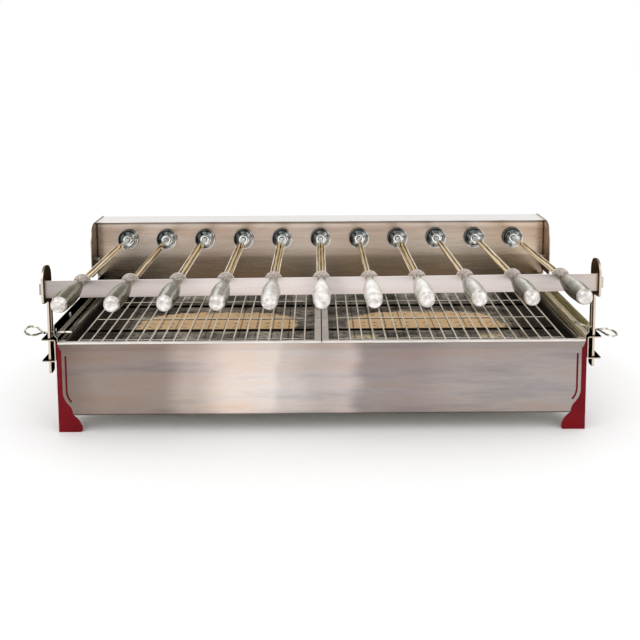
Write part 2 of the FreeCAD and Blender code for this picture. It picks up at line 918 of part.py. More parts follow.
def firebox_floor_piece():
    """Bottom and rear wall in one bent sheet, which catches the ash."""
    floor = block(-wall_inside, wall_inside, box_front_y + floor_setback, rear_leg_y,
                  panel_bottom, panel_bottom + sheet)
    rear = block(-wall_inside, wall_inside, rear_wall_y, rear_leg_y, panel_bottom, rim_under)
    floor = floor.fuse(rear).removeSplitter()
    return floor.makeFillet(sheet, edges_along(floor, right, y=rear_leg_y, z=panel_bottom))


def tray_openings():
    """What is open in the right tray's floor: two long slots, round vents and end slots."""
    z = tray_floor - panel_sheet - past
    deep = panel_sheet + 2 * past
    cuts = []
    for y, width in ((front_slot_y, front_slot_width), (back_slot_y, back_slot_width)):
        cuts.append(block(tray_inner + plank_end, tray_outer - plank_end, y - width / 2, y + width / 2,
                          z, z + deep))
    room = tray_outer - tray_inner - 2 * vent_end_room
    columns = int(room / vent_pitch) + 1
    first = (tray_inner + tray_outer - vent_pitch * (columns - 1)) / 2
    rows = [front_slot_y + row for row in rows_by_front_slot]
    rows += [back_slot_y + row for row in rows_by_back_slot]
    for y in rows:
        for n in range(columns):
            cuts.append(rod(vent_radius, Vec(first + vent_pitch * n, y, z), up, deep))
    half_x = end_slot_length / 2
    half_y = end_slot_width / 2
    for row in end_slot_rows:
        y = front_slot_y + row
        for x in (tray_inner + end_slot_inner, tray_outer - end_slot_outer):
            cuts.append(block(x - half_x, x + half_x, y - half_y, y + half_y, z, z + deep))
    return cuts


def strip_holes():
    """The row of holes in the right tray's middle flange."""
    room = firebox_depth - strip_hole_first - strip_hole_last_room
    x = tray_gap / 2 + tray_flange / 2
    holes = []
    for n in range(int(room / strip_hole_pitch) + 1):
        y = front_y + strip_hole_first + strip_hole_pitch * n
        start = Vec(x, y, rim_under - past)
        holes.append(rod(strip_hole_radius, start, up, panel_sheet + 2 * past))
    return holes


def tray_piece():
    """The right ember tray: a shallow box with flanges, hung over the front panel by a lip."""
    t = panel_sheet
    side = tray_gap / 2
    lip_y = front_y - t
    box = block(tray_inner, tray_outer, tray_front_y, tray_back_y, tray_floor - t, rim_height)
    hollow = block(tray_inner + t, tray_outer - t, tray_front_y + t, tray_back_y - t,
                   tray_floor, rim_height + past)
    rim = block(side, wall_inside, lip_y, rear_leg_y, rim_under, rim_height)
    ear = block(wall_half - panel_top_inset, wall_half, lip_y - past, box_front_y,
                rim_under - past, rim_height + past)
    lip = block(side, wall_half - panel_top_inset, lip_y, front_y, rim_height - tray_lip, rim_height)
    tray = one([box.cut(hollow), rim.cut(hollow).cut(ear), lip])
    tray = tray.makeFillet(lip_bend, edges_along(tray, right, y=lip_y, z=rim_height))
    return tray.cut(Part.makeCompound(tray_openings() + strip_holes()))


def grate_piece():
    """The right wire grate: long rods welded on cross rods, standing on four short feet."""
    y0 = front_y + grate_front_room
    length = face_y - grate_back_room - y0
    rods = []
    for n in range(grate_rods):
        start = Vec(grate_first + grate_pitch * n, y0, grate_height)
        rods.append(rod(grate_wire, start, back, length))
    cross_back = firebox_depth - cross_from_back
    for row in (cross_front, cross_middle, cross_back):
        start = Vec(grate_first - past, front_y + row, grate_under)
        rods.append(rod(grate_wire, start, right, grate_last - grate_first + 2 * past))
    for row in (cross_front, cross_back):
        for x in (grate_first + grate_pitch / 2, grate_last - grate_pitch / 2):
            start = Vec(x, front_y + row, tray_floor)
            rods.append(rod(grate_foot_wire, start, up, grate_under - tray_floor))
    return rods[0].multiFuse(rods[1:])


# Skewer rest

def lean(shape):
    """Leans a piece of the bar about the middle skewer's axis, to the side that hangs lower."""
    placed = shape.copy()
    placed.rotate(Vec(0, bar_y, axis_at_bar), back, -bar_lean_deg)
    return placed


def bar_tabs():
    """The strip of the bar that passes through both end plates."""
    return block(-tab_end, tab_end, bar_y, bar_y + bar_thick, bar_middle - tab_height / 2,
                 bar_middle + tab_height / 2)


def rest_bar_piece():
    """The front bar, with a round-bottomed notch for each journal and a tab at each end."""
    bar = block(-bar_half, bar_half, bar_y, bar_y + bar_thick, bar_bottom, bar_top)
    bar = bar.fuse(bar_tabs())
    radius = journal_radius + notch_clear
    notches = []
    for n in range(1, skewer_count + 1):
        x = skewer_x(n)
        start = Vec(x, bar_y - past, axis_at_bar)
        notches.append(rod(radius, start, back, bar_thick + 2 * past))
        notches.append(block(x - radius, x + radius, bar_y - past, bar_y + bar_thick + past,
                             axis_at_bar, bar_top + past))
    return lean(bar.cut(Part.makeCompound(notches)).removeSplitter())


def rest_plate_piece(side):
    """The end plate of one side: a round-topped head on a slotted post, cut from one plate."""
    x = plate_inside
    y0 = head_front_y
    y1 = post_back_y
    yp = post_front_y
    r = head_round
    c = head_corner
    k = head_inner_corner
    p = post_corner
    plate = face_of([
        Vec(x, yp, post_bottom + p),
        Vec(x, yp, head_bottom - k),
        (Vec(x, yp - bow(k), head_bottom - bow(k)), Vec(x, yp - k, head_bottom)),
        Vec(x, y0 + c, head_bottom),
        (Vec(x, y0 + bow(c), head_bottom + bow(c)), Vec(x, y0, head_bottom + c)),
        Vec(x, y0, head_top - r),
        (Vec(x, y0 + bow(r), head_top - bow(r)), Vec(x, y0 + r, head_top)),
        Vec(x, y1 - r, head_top),
        (Vec(x, y1 - bow(r), head_top - bow(r)), Vec(x, y1, head_top - r)),
        Vec(x, y1, post_bottom + p),
        (Vec(x, y1 - bow(p), post_bottom + bow(p)), Vec(x, y1 - p, post_bottom)),
        Vec(x, yp + p, post_bottom),
        (Vec(x, yp + bow(p), post_bottom + bow(p)), Vec(x, yp, post_bottom + p)),
    ]).extrude(Vec(plate_thick, 0, 0))
    plate = plate.cut(pin_slot(plate_inside, plate_outside, pin_height - plate_lift,
                               pin_height + rest_drop + plate_lift))
    if side < 0:
        plate = mirror_x(plate)
    plate.translate(Vec(0, 0, side * plate_lift))
    return plate.cut(lean(bar_tabs()))


def brackets_piece():
    """The guide brackets: channels laid on their sides against the legs, slotted for the posts."""
    x0 = leg_half
    y0 = front_y - bracket_forward
    y1 = y0 + bracket_length
    t = bracket_sheet
    outer = block(x0, bracket_outside, y0, y1, bracket_bottom, bracket_top)
    outer = outer.makeFillet(bracket_bend + t, edges_along(outer, back, x=x0))
    inner = block(x0 + t, bracket_outside + past, y0 - past, y1 + past, bracket_bottom + t,
                  bracket_top - t)
    inner = inner.makeFillet(bracket_bend, edges_along(inner, back, x=x0 + t))
    channel = outer.cut(inner)
    channel = channel.makeFillet(bracket_corner, edges_along(channel, up, x=bracket_outside))
    c = post_clear
    bracket = channel.cut(block(plate_inside - c, plate_outside + c, post_front_y - c,
                                post_back_y + c, bracket_bottom - past, bracket_top + past))
    return Part.makeCompound([bracket, mirror_x(bracket)])


def wire_ring():
    """The pieces of a pin's ring with its two crossing ends, from the elbow outwards."""
    elbow = Vec(elbow_x, 0, 0)
    section = Part.Face(Part.Wire(Part.makeCircle(pin_radius, Vec(ring_radius, 0, 0), back)))
    loop = section.revolve(Vec(0, 0, 0), up, 360 - 2 * ring_opening_deg)
    loop.rotate(Vec(0, 0, 0), up, ring_opening_deg - 180)
    loop.translate(Vec(ring_x, 0, 0))
    near_x = ring_x - ring_radius * math.cos(ring_opening)
    near_y = ring_radius * math.sin(ring_opening)
    leg = elbow - Vec(near_x, -near_y, 0)
    root = rod(pin_radius, elbow - leg, leg, leg.Length + pin_bend_overlap)
    tail = elbow - Vec(near_x, near_y, 0)
    tail.z = tail.Length * math.tan(math.radians(ring_tail_rise_deg))
    end = rod(pin_radius, Vec(near_x, near_y, 0), tail, tail.Length + ring_tail)
    return [loop, root, end]


def ring_pin_piece(tilt_deg, lean_deg, droop_deg, slot_rise):
    """The right ring pin: a shank through wall and post, bent round into a ring at its end."""
    length = elbow_x + pin_bend_overlap - pin_inner_end
    shank = rod(pin_radius, Vec(pin_inner_end, 0, 0), right, length)
    nose = [e for e in shank.Edges if abs(e.CenterOfMass.x - pin_inner_end) < touch]
    pieces = [shank.makeFillet(pin_nose, nose)]
    for piece in wire_ring():
        piece.rotate(Vec(elbow_x, 0, 0), back, -tilt_deg)
        pieces.append(piece)
    pin = one(pieces)
    pin.rotate(Vec(0, 0, 0), right, lean_deg)
    pin.rotate(Vec(upper_wall - sheet / 2, 0, 0), back, droop_deg)
    pin.translate(Vec(0, pin_y, pin_height + slot_rise))
    return pin


# Small fasteners

def rivet(point, direction):
    """A flat round rivet head on a face."""
    head = rod(rivet_radius, point, direction, rivet_height)
    rim = [e for e in head.Edges if abs((e.CenterOfMass - point).dot(direction) - rivet_height) < touch]
    return head.makeFillet(rivet_edge, rim)


def rivets_piece():
    """Rivet heads that hold the brackets to the legs and the cover to end plates and base."""
    heads = []
    middle_z = (bracket_top + bracket_bottom) / 2
    for row in bracket_rivet_rows:
        y = front_y - bracket_forward + row
        heads.append(rivet(Vec(leg_half + bracket_sheet, y, middle_z), right))
    for row in cheek_rivet_rows:
        place = Vec(housing_half + cheek_sheet, back_y - cheek_rivet_inset, housing_bottom + row)
        heads.append(rivet(place, right))
    heads += [mirror_x(head) for head in heads]
    spacing = 2 * housing_half / (cover_rivets + 1)
    for n in range(cover_rivets):
        x = spacing * (n - (cover_rivets - 1) / 2)
        heads.append(rivet(Vec(x, back_y, housing_bottom + cover_rivet_inset), back))
    return Part.makeCompound(heads)


def skewer_nodes():
    """The blade, handle and spindle of every skewer."""
    blade = blade_piece()
    handle = handle_piece()
    shaft = spindle_shaft()
    sprocket = sprocket_piece()
    nodes = {}
    for n in range(1, skewer_count + 1):
        nodes["skewer_blade_%02d" % n] = set_on_axis(blade, n, quarter_turns[n - 1])
        nodes["skewer_handle_%02d" % n] = set_on_axis(handle, n)
        pair = [set_on_axis(shaft, n), set_on_axis(sprocket, n)]
        nodes["spindle_%02d" % n] = Part.makeCompound(pair)
    return nodes


def all_nodes():
    """Every piece by its name."""
    tray = tray_piece()
    grate = grate_piece()
    wall = side_wall_piece()
    right_pin = ring_pin_piece(right_ring_tilt_deg, right_ring_lean_deg, right_pin_droop_deg,
                               pin_slot_rise)
    left_pin = ring_pin_piece(left_ring_tilt_deg, left_ring_lean_deg, 0, 0)
    nodes = skewer_nodes()
    nodes.update({
        "drive_chain": chain_piece(),
        "gearmotor": gearmotor_piece(),
        "spindle_bushes": bushes_piece(),
        "bearing_plate": bearing_plate_piece(),
        "housing_face": housing_face_piece(),
        "housing_cover": housing_cover_piece(),
        "housing_base": housing_base_piece(),
        "housing_end_plates": cheeks_piece(),
        "power_inlet": inlet_piece(),
        "switch_rocker": rocker_piece(),
        "front_panel": front_panel_piece(),
        "right_side_wall": wall,
        "left_side_wall": mirror_x(wall),
        "firebox_floor": firebox_floor_piece(),
        "front_legs": legs_piece(False),
        "rear_legs": legs_piece(True),
        "right_ember_tray": tray,
        "left_ember_tray": mirror_x(tray),
        "right_grate": grate,
        "left_grate": mirror_x(grate),
        "rest_bar": rest_bar_piece(),
        "right_rest_plate": rest_plate_piece(1),
        "left_rest_plate": rest_plate_piece(-1),
        "guide_brackets": brackets_piece(),
        "right_ring_pin": right_pin,
        "left_ring_pin": mirror_x(left_pin),
        "rivets": rivets_piece(),
    })
    return nodes


os.makedirs("parts", exist_ok=True)
for name, shape in all_nodes().items():
    shape.exportStep(os.path.join("parts", name + ".step"))
    size = shape.BoundBox
    print(name, len(shape.Solids), "solids, valid", shape.isValid(), "volume", round(shape.Volume))
    print("   from %.2f %.2f %.2f to %.2f %.2f %.2f" % (
        size.XMin, size.YMin, size.ZMin, size.XMax, size.YMax, size.ZMax))
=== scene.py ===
import math

import bpy
from mathutils import Matrix, Vector


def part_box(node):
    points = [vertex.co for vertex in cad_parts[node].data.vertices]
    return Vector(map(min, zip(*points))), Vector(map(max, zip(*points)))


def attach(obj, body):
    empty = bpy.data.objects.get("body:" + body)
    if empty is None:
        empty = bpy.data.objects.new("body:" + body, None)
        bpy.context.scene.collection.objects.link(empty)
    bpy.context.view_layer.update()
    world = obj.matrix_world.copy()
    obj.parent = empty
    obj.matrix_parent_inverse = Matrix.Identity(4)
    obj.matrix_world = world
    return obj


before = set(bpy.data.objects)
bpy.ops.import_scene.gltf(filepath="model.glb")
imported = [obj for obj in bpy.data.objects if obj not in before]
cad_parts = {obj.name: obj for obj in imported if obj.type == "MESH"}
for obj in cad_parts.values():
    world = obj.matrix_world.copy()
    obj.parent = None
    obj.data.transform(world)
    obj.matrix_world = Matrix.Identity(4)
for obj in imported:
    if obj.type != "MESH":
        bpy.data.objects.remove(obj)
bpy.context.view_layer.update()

mm = 0.001

# Places shared by several pieces, in metres, as the frame has them
layout = {
    "skewers": 11,
    "pitch": 88.9 * mm,
    "socketHeight": 290 * mm,
    "barStation": 463.5 * mm,     # from the housing face to the middle of the rest bar
    "meanRise": math.radians(0.9),    # of the skewers, from their sockets to the bar
    "barLean": math.radians(0.42),    # the bar lies a little higher on the right
    "quarterTurns": [0, 1, 0, 0, 0, 0, 1, 0, 1, 1, 0],    # 1 where the blade lies turned
    "panelSheet": 1.5 * mm,
    "housingHalf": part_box("housing_face")[1][0],
}
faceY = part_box("housing_face")[0][1]
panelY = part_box("front_legs")[0][1] - layout["panelSheet"]


# An sRGB hex value as a linear colour
def linearColour(text):
    channels = [int(text[i:i + 2], 16) / 255 for i in (0, 2, 4)]
    return (*[c / 12.92 if c <= 0.04045 else ((c + 0.055) / 1.055) ** 2.4 for c in channels], 1)


# Adds a node. Inputs go by their socket's name or number and are linked or set, and stops
# are a ramp's places with their hex colours.
def addNode(material, kind, inputs=None, stops=None, **settings):
    node = material.node_tree.nodes.new("ShaderNode" + kind)
    for name, value in settings.items():
        setattr(node, name, value)
    if stops:
        ramp = node.color_ramp
        while len(ramp.elements) < len(stops):
            ramp.elements.new(0.5)
        for element, (place, tone) in zip(ramp.elements, stops):
            element.position = place
            element.color = linearColour(tone)
    for key, value in (inputs or {}).items():
        if isinstance(value, bpy.types.NodeSocket):
            material.node_tree.links.new(value, node.inputs[key])
        else:
            node.inputs[key].default_value = value
    return node


def newMaterial(name):
    material = bpy.data.materials.new(name)
    material.use_nodes = True
    material.node_tree.nodes.clear()
    return material


def closeMaterial(material, surface):
    addNode(material, "OutputMaterial", {"Surface": surface.outputs[0]})
    return material


def finishNode(name, material):
    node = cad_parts[name]
    node.data.materials.clear()
    node.data.materials.append(material)


# Noise drawn out to a reach in each direction, in metres
def drawnNoise(m, place, reach, detail):
    scale = addNode(m, "Mapping", {"Vector": place, "Scale": tuple(1 / r for r in reach)})
    return addNode(m, "TexNoise", {"Vector": scale.outputs[0], "Scale": 1.0, "Detail": detail,
                                   "Roughness": 0.55}).outputs[0]


# The inputs that turn a value between two ends into another from start to stop
def fade(ends, start=0.0, stop=1.0):
    return {"From Min": ends[0], "From Max": ends[1], "To Min": start, "To Max": stop}


# How far a value lies from a place, counted in reaches
def gapFrom(m, value, place, reach=1.0):
    gap = addNode(m, "Math", {0: value, 1: place}, operation="SUBTRACT")
    gap = addNode(m, "Math", {0: gap.outputs[0], 1: reach}, operation="DIVIDE")
    return addNode(m, "Math", {0: gap.outputs[0]}, operation="ABSOLUTE").outputs[0]


# Rolled stainless sheet, brushed along its length. The broad soft bands from side to side and in
# height are painted reflection and painted shade, the long faint streaks are stains with tints of
# painted reflection, and faces that look along one axis take a painted highlight or painted shade.
# A brush leaves lines about 0.1 mm apart, too fine to show, so the hair lines are drawn 0.7 to
# 0.8 mm apart.
def sheetMetal(name, look):
    m = newMaterial(name)
    coords = addNode(m, "TexCoord")
    place = coords.outputs["Object"]
    xyz = addNode(m, "SeparateXYZ", {"Vector": place})
    cloud = drawnNoise(m, place, look["clouds"], 2.0)
    wander = addNode(m, "MapRange", {"Value": cloud, "To Min": -look["wander"],
                                     "To Max": look["wander"]})
    # broad bands from side to side and in height: painted reflection and painted shade
    across = addNode(m, "Math", {0: xyz.outputs[0], 1: wander.outputs[0]}, operation="ADD")
    across = addNode(m, "MapRange", {"Value": across.outputs[0], **fade(look["span"])})
    across = addNode(m, "ValToRGB", {"Fac": across.outputs[0]}, stops=look["across"])
    across.color_ramp.interpolation = "EASE"
    upward = addNode(m, "Math", {0: wander.outputs[0], 1: look["heave"], 2: xyz.outputs[2]},
                     operation="MULTIPLY_ADD")
    upward = addNode(m, "MapRange", {"Value": upward.outputs[0], **fade(look["rise"])})
    upward = addNode(m, "ValToRGB", {"Fac": upward.outputs[0]}, stops=look["upward"])
    colour = addNode(m, "Mix", {"Factor": 1.0, 6: across.outputs[0], 7: upward.outputs[0]},
                     data_type="RGBA", blend_type="MULTIPLY")
    # streaks of stain with tints of painted reflection
    streak = drawnNoise(m, place, look["streaks"], 4.0)
    streak = addNode(m, "ValToRGB", {"Fac": streak}, stops=look["stainAndReflection"])
    colour = addNode(m, "Mix", {"Factor": look["stainAndReflectionAmount"], 6: colour.outputs[2],
                                7: streak.outputs[0]}, data_type="RGBA",
                     blend_type="MULTIPLY")
    # faces that look along the chosen axis are painted one tone, a painted highlight on some looks
    # and painted shade on others
    facing = addNode(m, "SeparateXYZ", {"Vector": coords.outputs["Normal"]})
    edge = addNode(m, "Math", {0: facing.outputs[look["edgeAxis"]]}, operation="ABSOLUTE")
    edge = addNode(m, "MapRange", {"Value": edge.outputs[0],
                                   **fade((0.5, 0.8), 0.0, look["edgeAmount"])})
    colour = addNode(m, "Mix", {"Factor": edge.outputs[0], 6: colour.outputs[2],
                                7: linearColour(look["edge"])}, data_type="RGBA")
    if "seamFrom" in look:
        end = addNode(m, "Math", {0: xyz.outputs[0]}, operation="ABSOLUTE")
        end = addNode(m, "MapRange", {"Value": end.outputs[0],
                                      **fade(look["seamFrom"], 0.0, 0.85)})
        colour = addNode(m, "Mix", {"Factor": end.outputs[0], 6: colour.outputs[2],
                                    7: linearColour(look["seam"])}, data_type="RGBA")
    tint = linearColour(look["glance"])
    if "edgeGlance" in look:
        tint = addNode(m, "Mix", {"Factor": edge.outputs[0], 6: tint,
                                  7: linearColour(look["edgeGlance"])},
                       data_type="RGBA").outputs[2]
    # outer sides are plain steel, with a fifth of the stain and painted reflection
    if "outside" in look:
        away = [addNode(m, "Math", {0: xyz.outputs[a]}, operation="SIGN") for a in (0, 1)]
        away = [addNode(m, "Math", {0: facing.outputs[a], 1: away[a].outputs[0]},
                        operation="MULTIPLY") for a in (0, 1)]
        away = addNode(m, "Math", {0: away[0].outputs[0], 1: away[1].outputs[0]},
                       operation="MAXIMUM")
        away = addNode(m, "MapRange", {"Value": away.outputs[0], **fade((0.4, 0.7))})
        plain = addNode(m, "Mix", {"Factor": look["stainAndReflectionAmount"] / 5,
                                   6: linearColour(look["outside"]), 7: streak.outputs[0]},
                        data_type="RGBA", blend_type="MULTIPLY")
        colour = addNode(m, "Mix", {"Factor": away.outputs[0], 6: colour.outputs[2],
                                    7: plain.outputs[2]}, data_type="RGBA")
        tint = addNode(m, "Mix", {"Factor": away.outputs[0], 6: tint,
                                  7: linearColour(look["outside"])},
                       data_type="RGBA").outputs[2]
    hair = drawnNoise(m, place, look["grain"], 3.0)
    rough = addNode(m, "MapRange", {"Value": hair,
                                    **fade((0.3, 0.7), look["rough"][0], look["rough"][1])})
    bump = addNode(m, "Bump", {"Height": hair, "Strength": 0.2, "Distance": 0.04 * mm})
    shader = addNode(m, "BsdfPrincipled", {"Base Color": colour.outputs[2],
                                           "Metallic": look.get("metal", 1.0),
                                           "Specular Tint": tint,
                                           "Roughness": rough.outputs[0],
                                           "Normal": bump.outputs[0]})
    return closeMaterial(m, shader)


flat = [(0.0, "FFFFFF"), (1.0, "FFFFFF")]
# Front panel: the bands from side to side and the blue and warm streak tints are painted
# reflection; the dark line at the bottom fold, the darker strip under the lip and the darker faces
# that look up are painted shade
panelLook = {
    "grain": (60 * mm, 60 * mm, 0.7 * mm), "clouds": (130 * mm, 130 * mm, 60 * mm),
    "wander": 30 * mm, "heave": 0.0,
    "span": (-0.5, 0.5),
    "across": [(0.0, "82766F"), (0.08, "988C85"), (0.19, "9A8E88"), (0.25, "BFB2AB"),
               (0.34, "EBDDD5"), (0.405, "E8DFD9"), (0.43, "D2CAC6"), (0.50, "C1B8B4"),
               (0.55, "C9BEBA"), (0.585, "9D9593"), (0.66, "9E9391"), (0.78, "AAA19D"),
               (0.90, "A8A09D"), (1.0, "A79E9A")],
    "rise": (34 * mm, 177 * mm),
    "upward": [(0.008, "8C847F"), (0.02, "FFFAF6"), (0.30, "FFFFFF"), (0.62, "F6F4F4"),
               (0.86, "EEEBEA"), (0.89, "E2DDDA"), (0.955, "E2DDDA"), (1.0, "B5AFAB")],
    "streaks": (240 * mm, 240 * mm, 26 * mm),
    "stainAndReflection": [(0.34, "A9B0C2"), (0.50, "FFFFFF"), (0.66, "FFE4CA")], "stainAndReflectionAmount": 0.34,
    "edgeAxis": 2, "edge": "6B625D", "edgeAmount": 0.8,
    "rough": (0.20, 0.32),
    "glance": "A39A95",
}
# Housing face: the bands from side to side and the dark lower band are painted reflection, the
# dark top edge under the cover is painted shade, and faces that look up take a painted highlight;
# the dark seams at its ends are joints
faceLook = {
    "grain": (50 * mm, 50 * mm, 0.8 * mm), "clouds": (160 * mm, 160 * mm, 60 * mm),
    "wander": 22 * mm, "heave": 0.12,
    "span": (-0.52, 0.52),
    "across": [(0.0, "D2CBC4"), (0.12, "FFFFFF"), (0.30, "F3EEEA"), (0.45, "FFFFFF"),
               (0.62, "F0ECE8"), (0.80, "FFFFFF"), (0.93, "FFF8EE"), (1.0, "EDE4DA")],
    "rise": (150 * mm, 330 * mm),
    "upward": [(0.0, "7D7266"), (0.40, "A39585"), (0.53, "AC9D8D"), (0.57, "CDBEB0"),
               (0.66, "D5C6B8"), (0.78, "C6B6A9"), (0.90, "C4B1A3"), (0.955, "DBCEC3"),
               (0.975, "9A8D82"), (1.0, "4C443D")],
    "streaks": (120 * mm, 120 * mm, 16 * mm),
    "stainAndReflection": [(0.36, "D3CCC6"), (0.50, "FFFFFF"), (0.66, "FFF3E6")], "stainAndReflectionAmount": 0.3,
    "edgeAxis": 2, "edge": "C9C2BB", "edgeAmount": 0.5,
    "rough": (0.18, 0.30),
    "glance": "FFFFFF",
    "seamFrom": (layout["housingHalf"] - 3 * mm, layout["housingHalf"] - 1.5 * mm),
    "seam": "191713",
}
# Cover: lighter towards the top and on faces that look up, as painted light
coverLook = {
    "grain": (60 * mm, 0.8 * mm, 0.8 * mm), "clouds": (260 * mm, 200 * mm, 120 * mm),
    "wander": 20 * mm, "heave": 0.0,
    "span": (-0.5, 0.5), "across": flat,
    "rise": (150 * mm, 332 * mm),
    "upward": [(0.0, "8C847C"), (0.7, "B5AEA7"), (0.95, "D2CDC8"), (0.985, "F4F3F1"),
               (1.0, "FFFFFF")],
    "streaks": (240 * mm, 20 * mm, 20 * mm),
    "stainAndReflection": [(0.36, "D9D4CF"), (0.52, "FFFFFF"), (0.66, "FFFFFF")], "stainAndReflectionAmount": 0.25,
    "edgeAxis": 2, "edge": "E4E0DD", "edgeAmount": 1.0,
    "rough": (0.22, 0.34),
    "glance": "FFFFFF",
}
# End plates: darker towards the bottom and painted near black on faces that look up, as painted
# shade
cheekLook = {
    "grain": (60 * mm, 0.8 * mm, 0.8 * mm), "clouds": (200 * mm, 60 * mm, 60 * mm),
    "wander": 20 * mm, "heave": 0.4,
    "span": (-0.52, 0.52), "across": [(0.0, "E9ECE4"), (1.0, "FFF6EC")],
    "rise": (190 * mm, 332 * mm),
    "upward": [(0.0, "9A9389"), (0.3, "B8B0A8"), (0.6, "CFC8C2"), (0.85, "E2DCD6"),
               (1.0, "F3EFEA")],
    "streaks": (40 * mm, 60 * mm, 18 * mm),
    "stainAndReflection": [(0.36, "C2BDB5"), (0.52, "FFFFFF"), (0.66, "FFF6EC")], "stainAndReflectionAmount": 0.4,
    "edgeAxis": 2, "edge": "12110E", "edgeAmount": 1.0, "edgeGlance": "12110E",
    "rough": (0.18, 0.30),
    "glance": "D6CEC5",
}
# Firebox walls and floor: the dark green-black stripes, the thin bright lines, the bright band
# partway up, the dark left and light right and the light faces that look up are painted reflection
# and painted highlight; outer sides are plain steel
wallLook = {
    "grain": (0.8 * mm, 60 * mm, 0.8 * mm), "clouds": (200 * mm, 90 * mm, 30 * mm),
    "wander": 25 * mm, "heave": 0.3,
    "span": (-0.51, 0.51), "across": [(0.0, "5F6656"), (0.5, "A09A86"), (1.0, "FFF3CE")],
    "rise": (150 * mm, 209 * mm),
    "upward": [(0.0, "5A5A50"), (0.35, "8C8C80"), (0.50, "FFFFFF"), (0.58, "FFFFFF"),
               (0.68, "57574C"), (0.85, "8E8E80"), (1.0, "E8E8DC")],
    "streaks": (20 * mm, 640 * mm, 8 * mm),
    "stainAndReflection": [(0.38, "23251E"), (0.48, "4A4C40"), (0.525, "FFFFFF"), (0.57, "5B5B4C"),
              (0.68, "23251E")], "stainAndReflectionAmount": 0.9,
    "edgeAxis": 2, "edge": "F1EEE4", "edgeAmount": 0.8,
    "rough": (0.16, 0.30),
    "glance": "3A3A30", "outside": "B4ADA6",
}
# The right wall is painted paler than the left one, as painted reflection, with thin bright lines
# of painted reflection
rightWallLook = dict(wallLook, glance="D8D2B8", stainAndReflectionAmount=0.85, metal=0.55,
                     upward=[(0.0, "A0A08C"), (0.35, "DCDCC8"), (0.50, "FFFFFF"),
                             (0.58, "FFFFFF"), (0.66, "BCBCA2"), (0.85, "D6D6BC"),
                             (1.0, "FFFFF0")],
                     streaks=(20 * mm, 640 * mm, 5 * mm),
                     stainAndReflection=[(0.38, "5C5840"), (0.44, "9E997A"), (0.48, "FFFFFF"),
                            (0.51, "FFFFFF"), (0.55, "5F5B44"), (0.60, "FFFFF0"),
                            (0.64, "7A765A"), (0.70, "E4DEC4")])
# Rest bar: the bands from side to side are painted reflection, and the lighter top and the faces
# that look up are painted highlight
barLook = {
    "grain": (50 * mm, 50 * mm, 0.7 * mm), "clouds": (140 * mm, 100 * mm, 60 * mm),
    "wander": 20 * mm, "heave": 0.05,
    "span": (-0.52, 0.52),
    "across": [(0.0, "A89F9B"), (0.08, "B6ADA9"), (0.20, "C8BEBA"), (0.32, "DCD1CC"),
               (0.45, "DDD2CD"), (0.52, "C1B8B5"), (0.56, "DAD0CC"), (0.78, "D6CCC7"),
               (0.95, "C2B8B3"), (1.0, "C8BCB1")],
    "rise": (268 * mm, 306 * mm),
    "upward": [(0.0, "D5D0CC"), (0.12, "F4F0EE"), (0.5, "FFFFFF"), (0.9, "FFFFFF"),
               (1.0, "FFFFFF")],
    "streaks": (110 * mm, 100 * mm, 12 * mm),
    "stainAndReflection": [(0.36, "DCD6D3"), (0.50, "FFFFFF"), (0.66, "FFFFFF")], "stainAndReflectionAmount": 0.3,
    "edgeAxis": 2, "edge": "FBF9F6", "edgeAmount": 0.9,
    "rough": (0.26, 0.38),
    "glance": "FFFFFF",
}
# Rest plates: darker towards the bottom, with a painted highlight on the faces that look forward
plateLook = {
    "grain": (50 * mm, 0.8 * mm, 0.8 * mm), "clouds": (90 * mm, 60 * mm, 60 * mm),
    "wander": 20 * mm, "heave": 0.4,
    "span": (-0.55, 0.55), "across": [(0.0, "D9DBD2"), (0.5, "FFFFFF"), (1.0, "FFF3E6")],
    "rise": (118 * mm, 335 * mm),
    "upward": [(0.0, "23251F"), (0.25, "4B4A42"), (0.5, "978E85"), (0.8, "817970"),
               (1.0, "A69D92")],
    "streaks": (40 * mm, 30 * mm, 22 * mm),
    "stainAndReflection": [(0.36, "8F8B84"), (0.52, "FFFFFF"), (0.66, "FFFFFF")], "stainAndReflectionAmount": 0.5,
    "edgeAxis": 1, "edge": "D6C8B8", "edgeAmount": 0.95,
    "rough": (0.20, 0.34),
    "glance": "9A9288",
}
# Guide brackets: painted dark as painted shade, with a painted highlight on the faces that look
# forward
bracketLook = {
    "grain": (50 * mm, 0.8 * mm, 0.8 * mm), "clouds": (60 * mm, 60 * mm, 30 * mm),
    "wander": 10 * mm, "heave": 0.4,
    "span": (-0.55, 0.55), "across": [(0.0, "8C9488"), (0.5, "FFFFFF"), (1.0, "A8A294")],
    "rise": (138 * mm, 183 * mm),
    "upward": [(0.0, "3A3C34"), (0.3, "55564C"), (0.8, "3A3B34"), (1.0, "6C6A5F")],
    "streaks": (20 * mm, 30 * mm, 10 * mm),
    "stainAndReflection": [(0.38, "3C3E37"), (0.52, "B5B3A8"), (0.66, "FFFFFF")], "stainAndReflectionAmount": 0.8,
    "edgeAxis": 1, "edge": "C8B7A6", "edgeAmount": 0.95,
    "rough": (0.18, 0.32),
    "glance": "30312A",
}


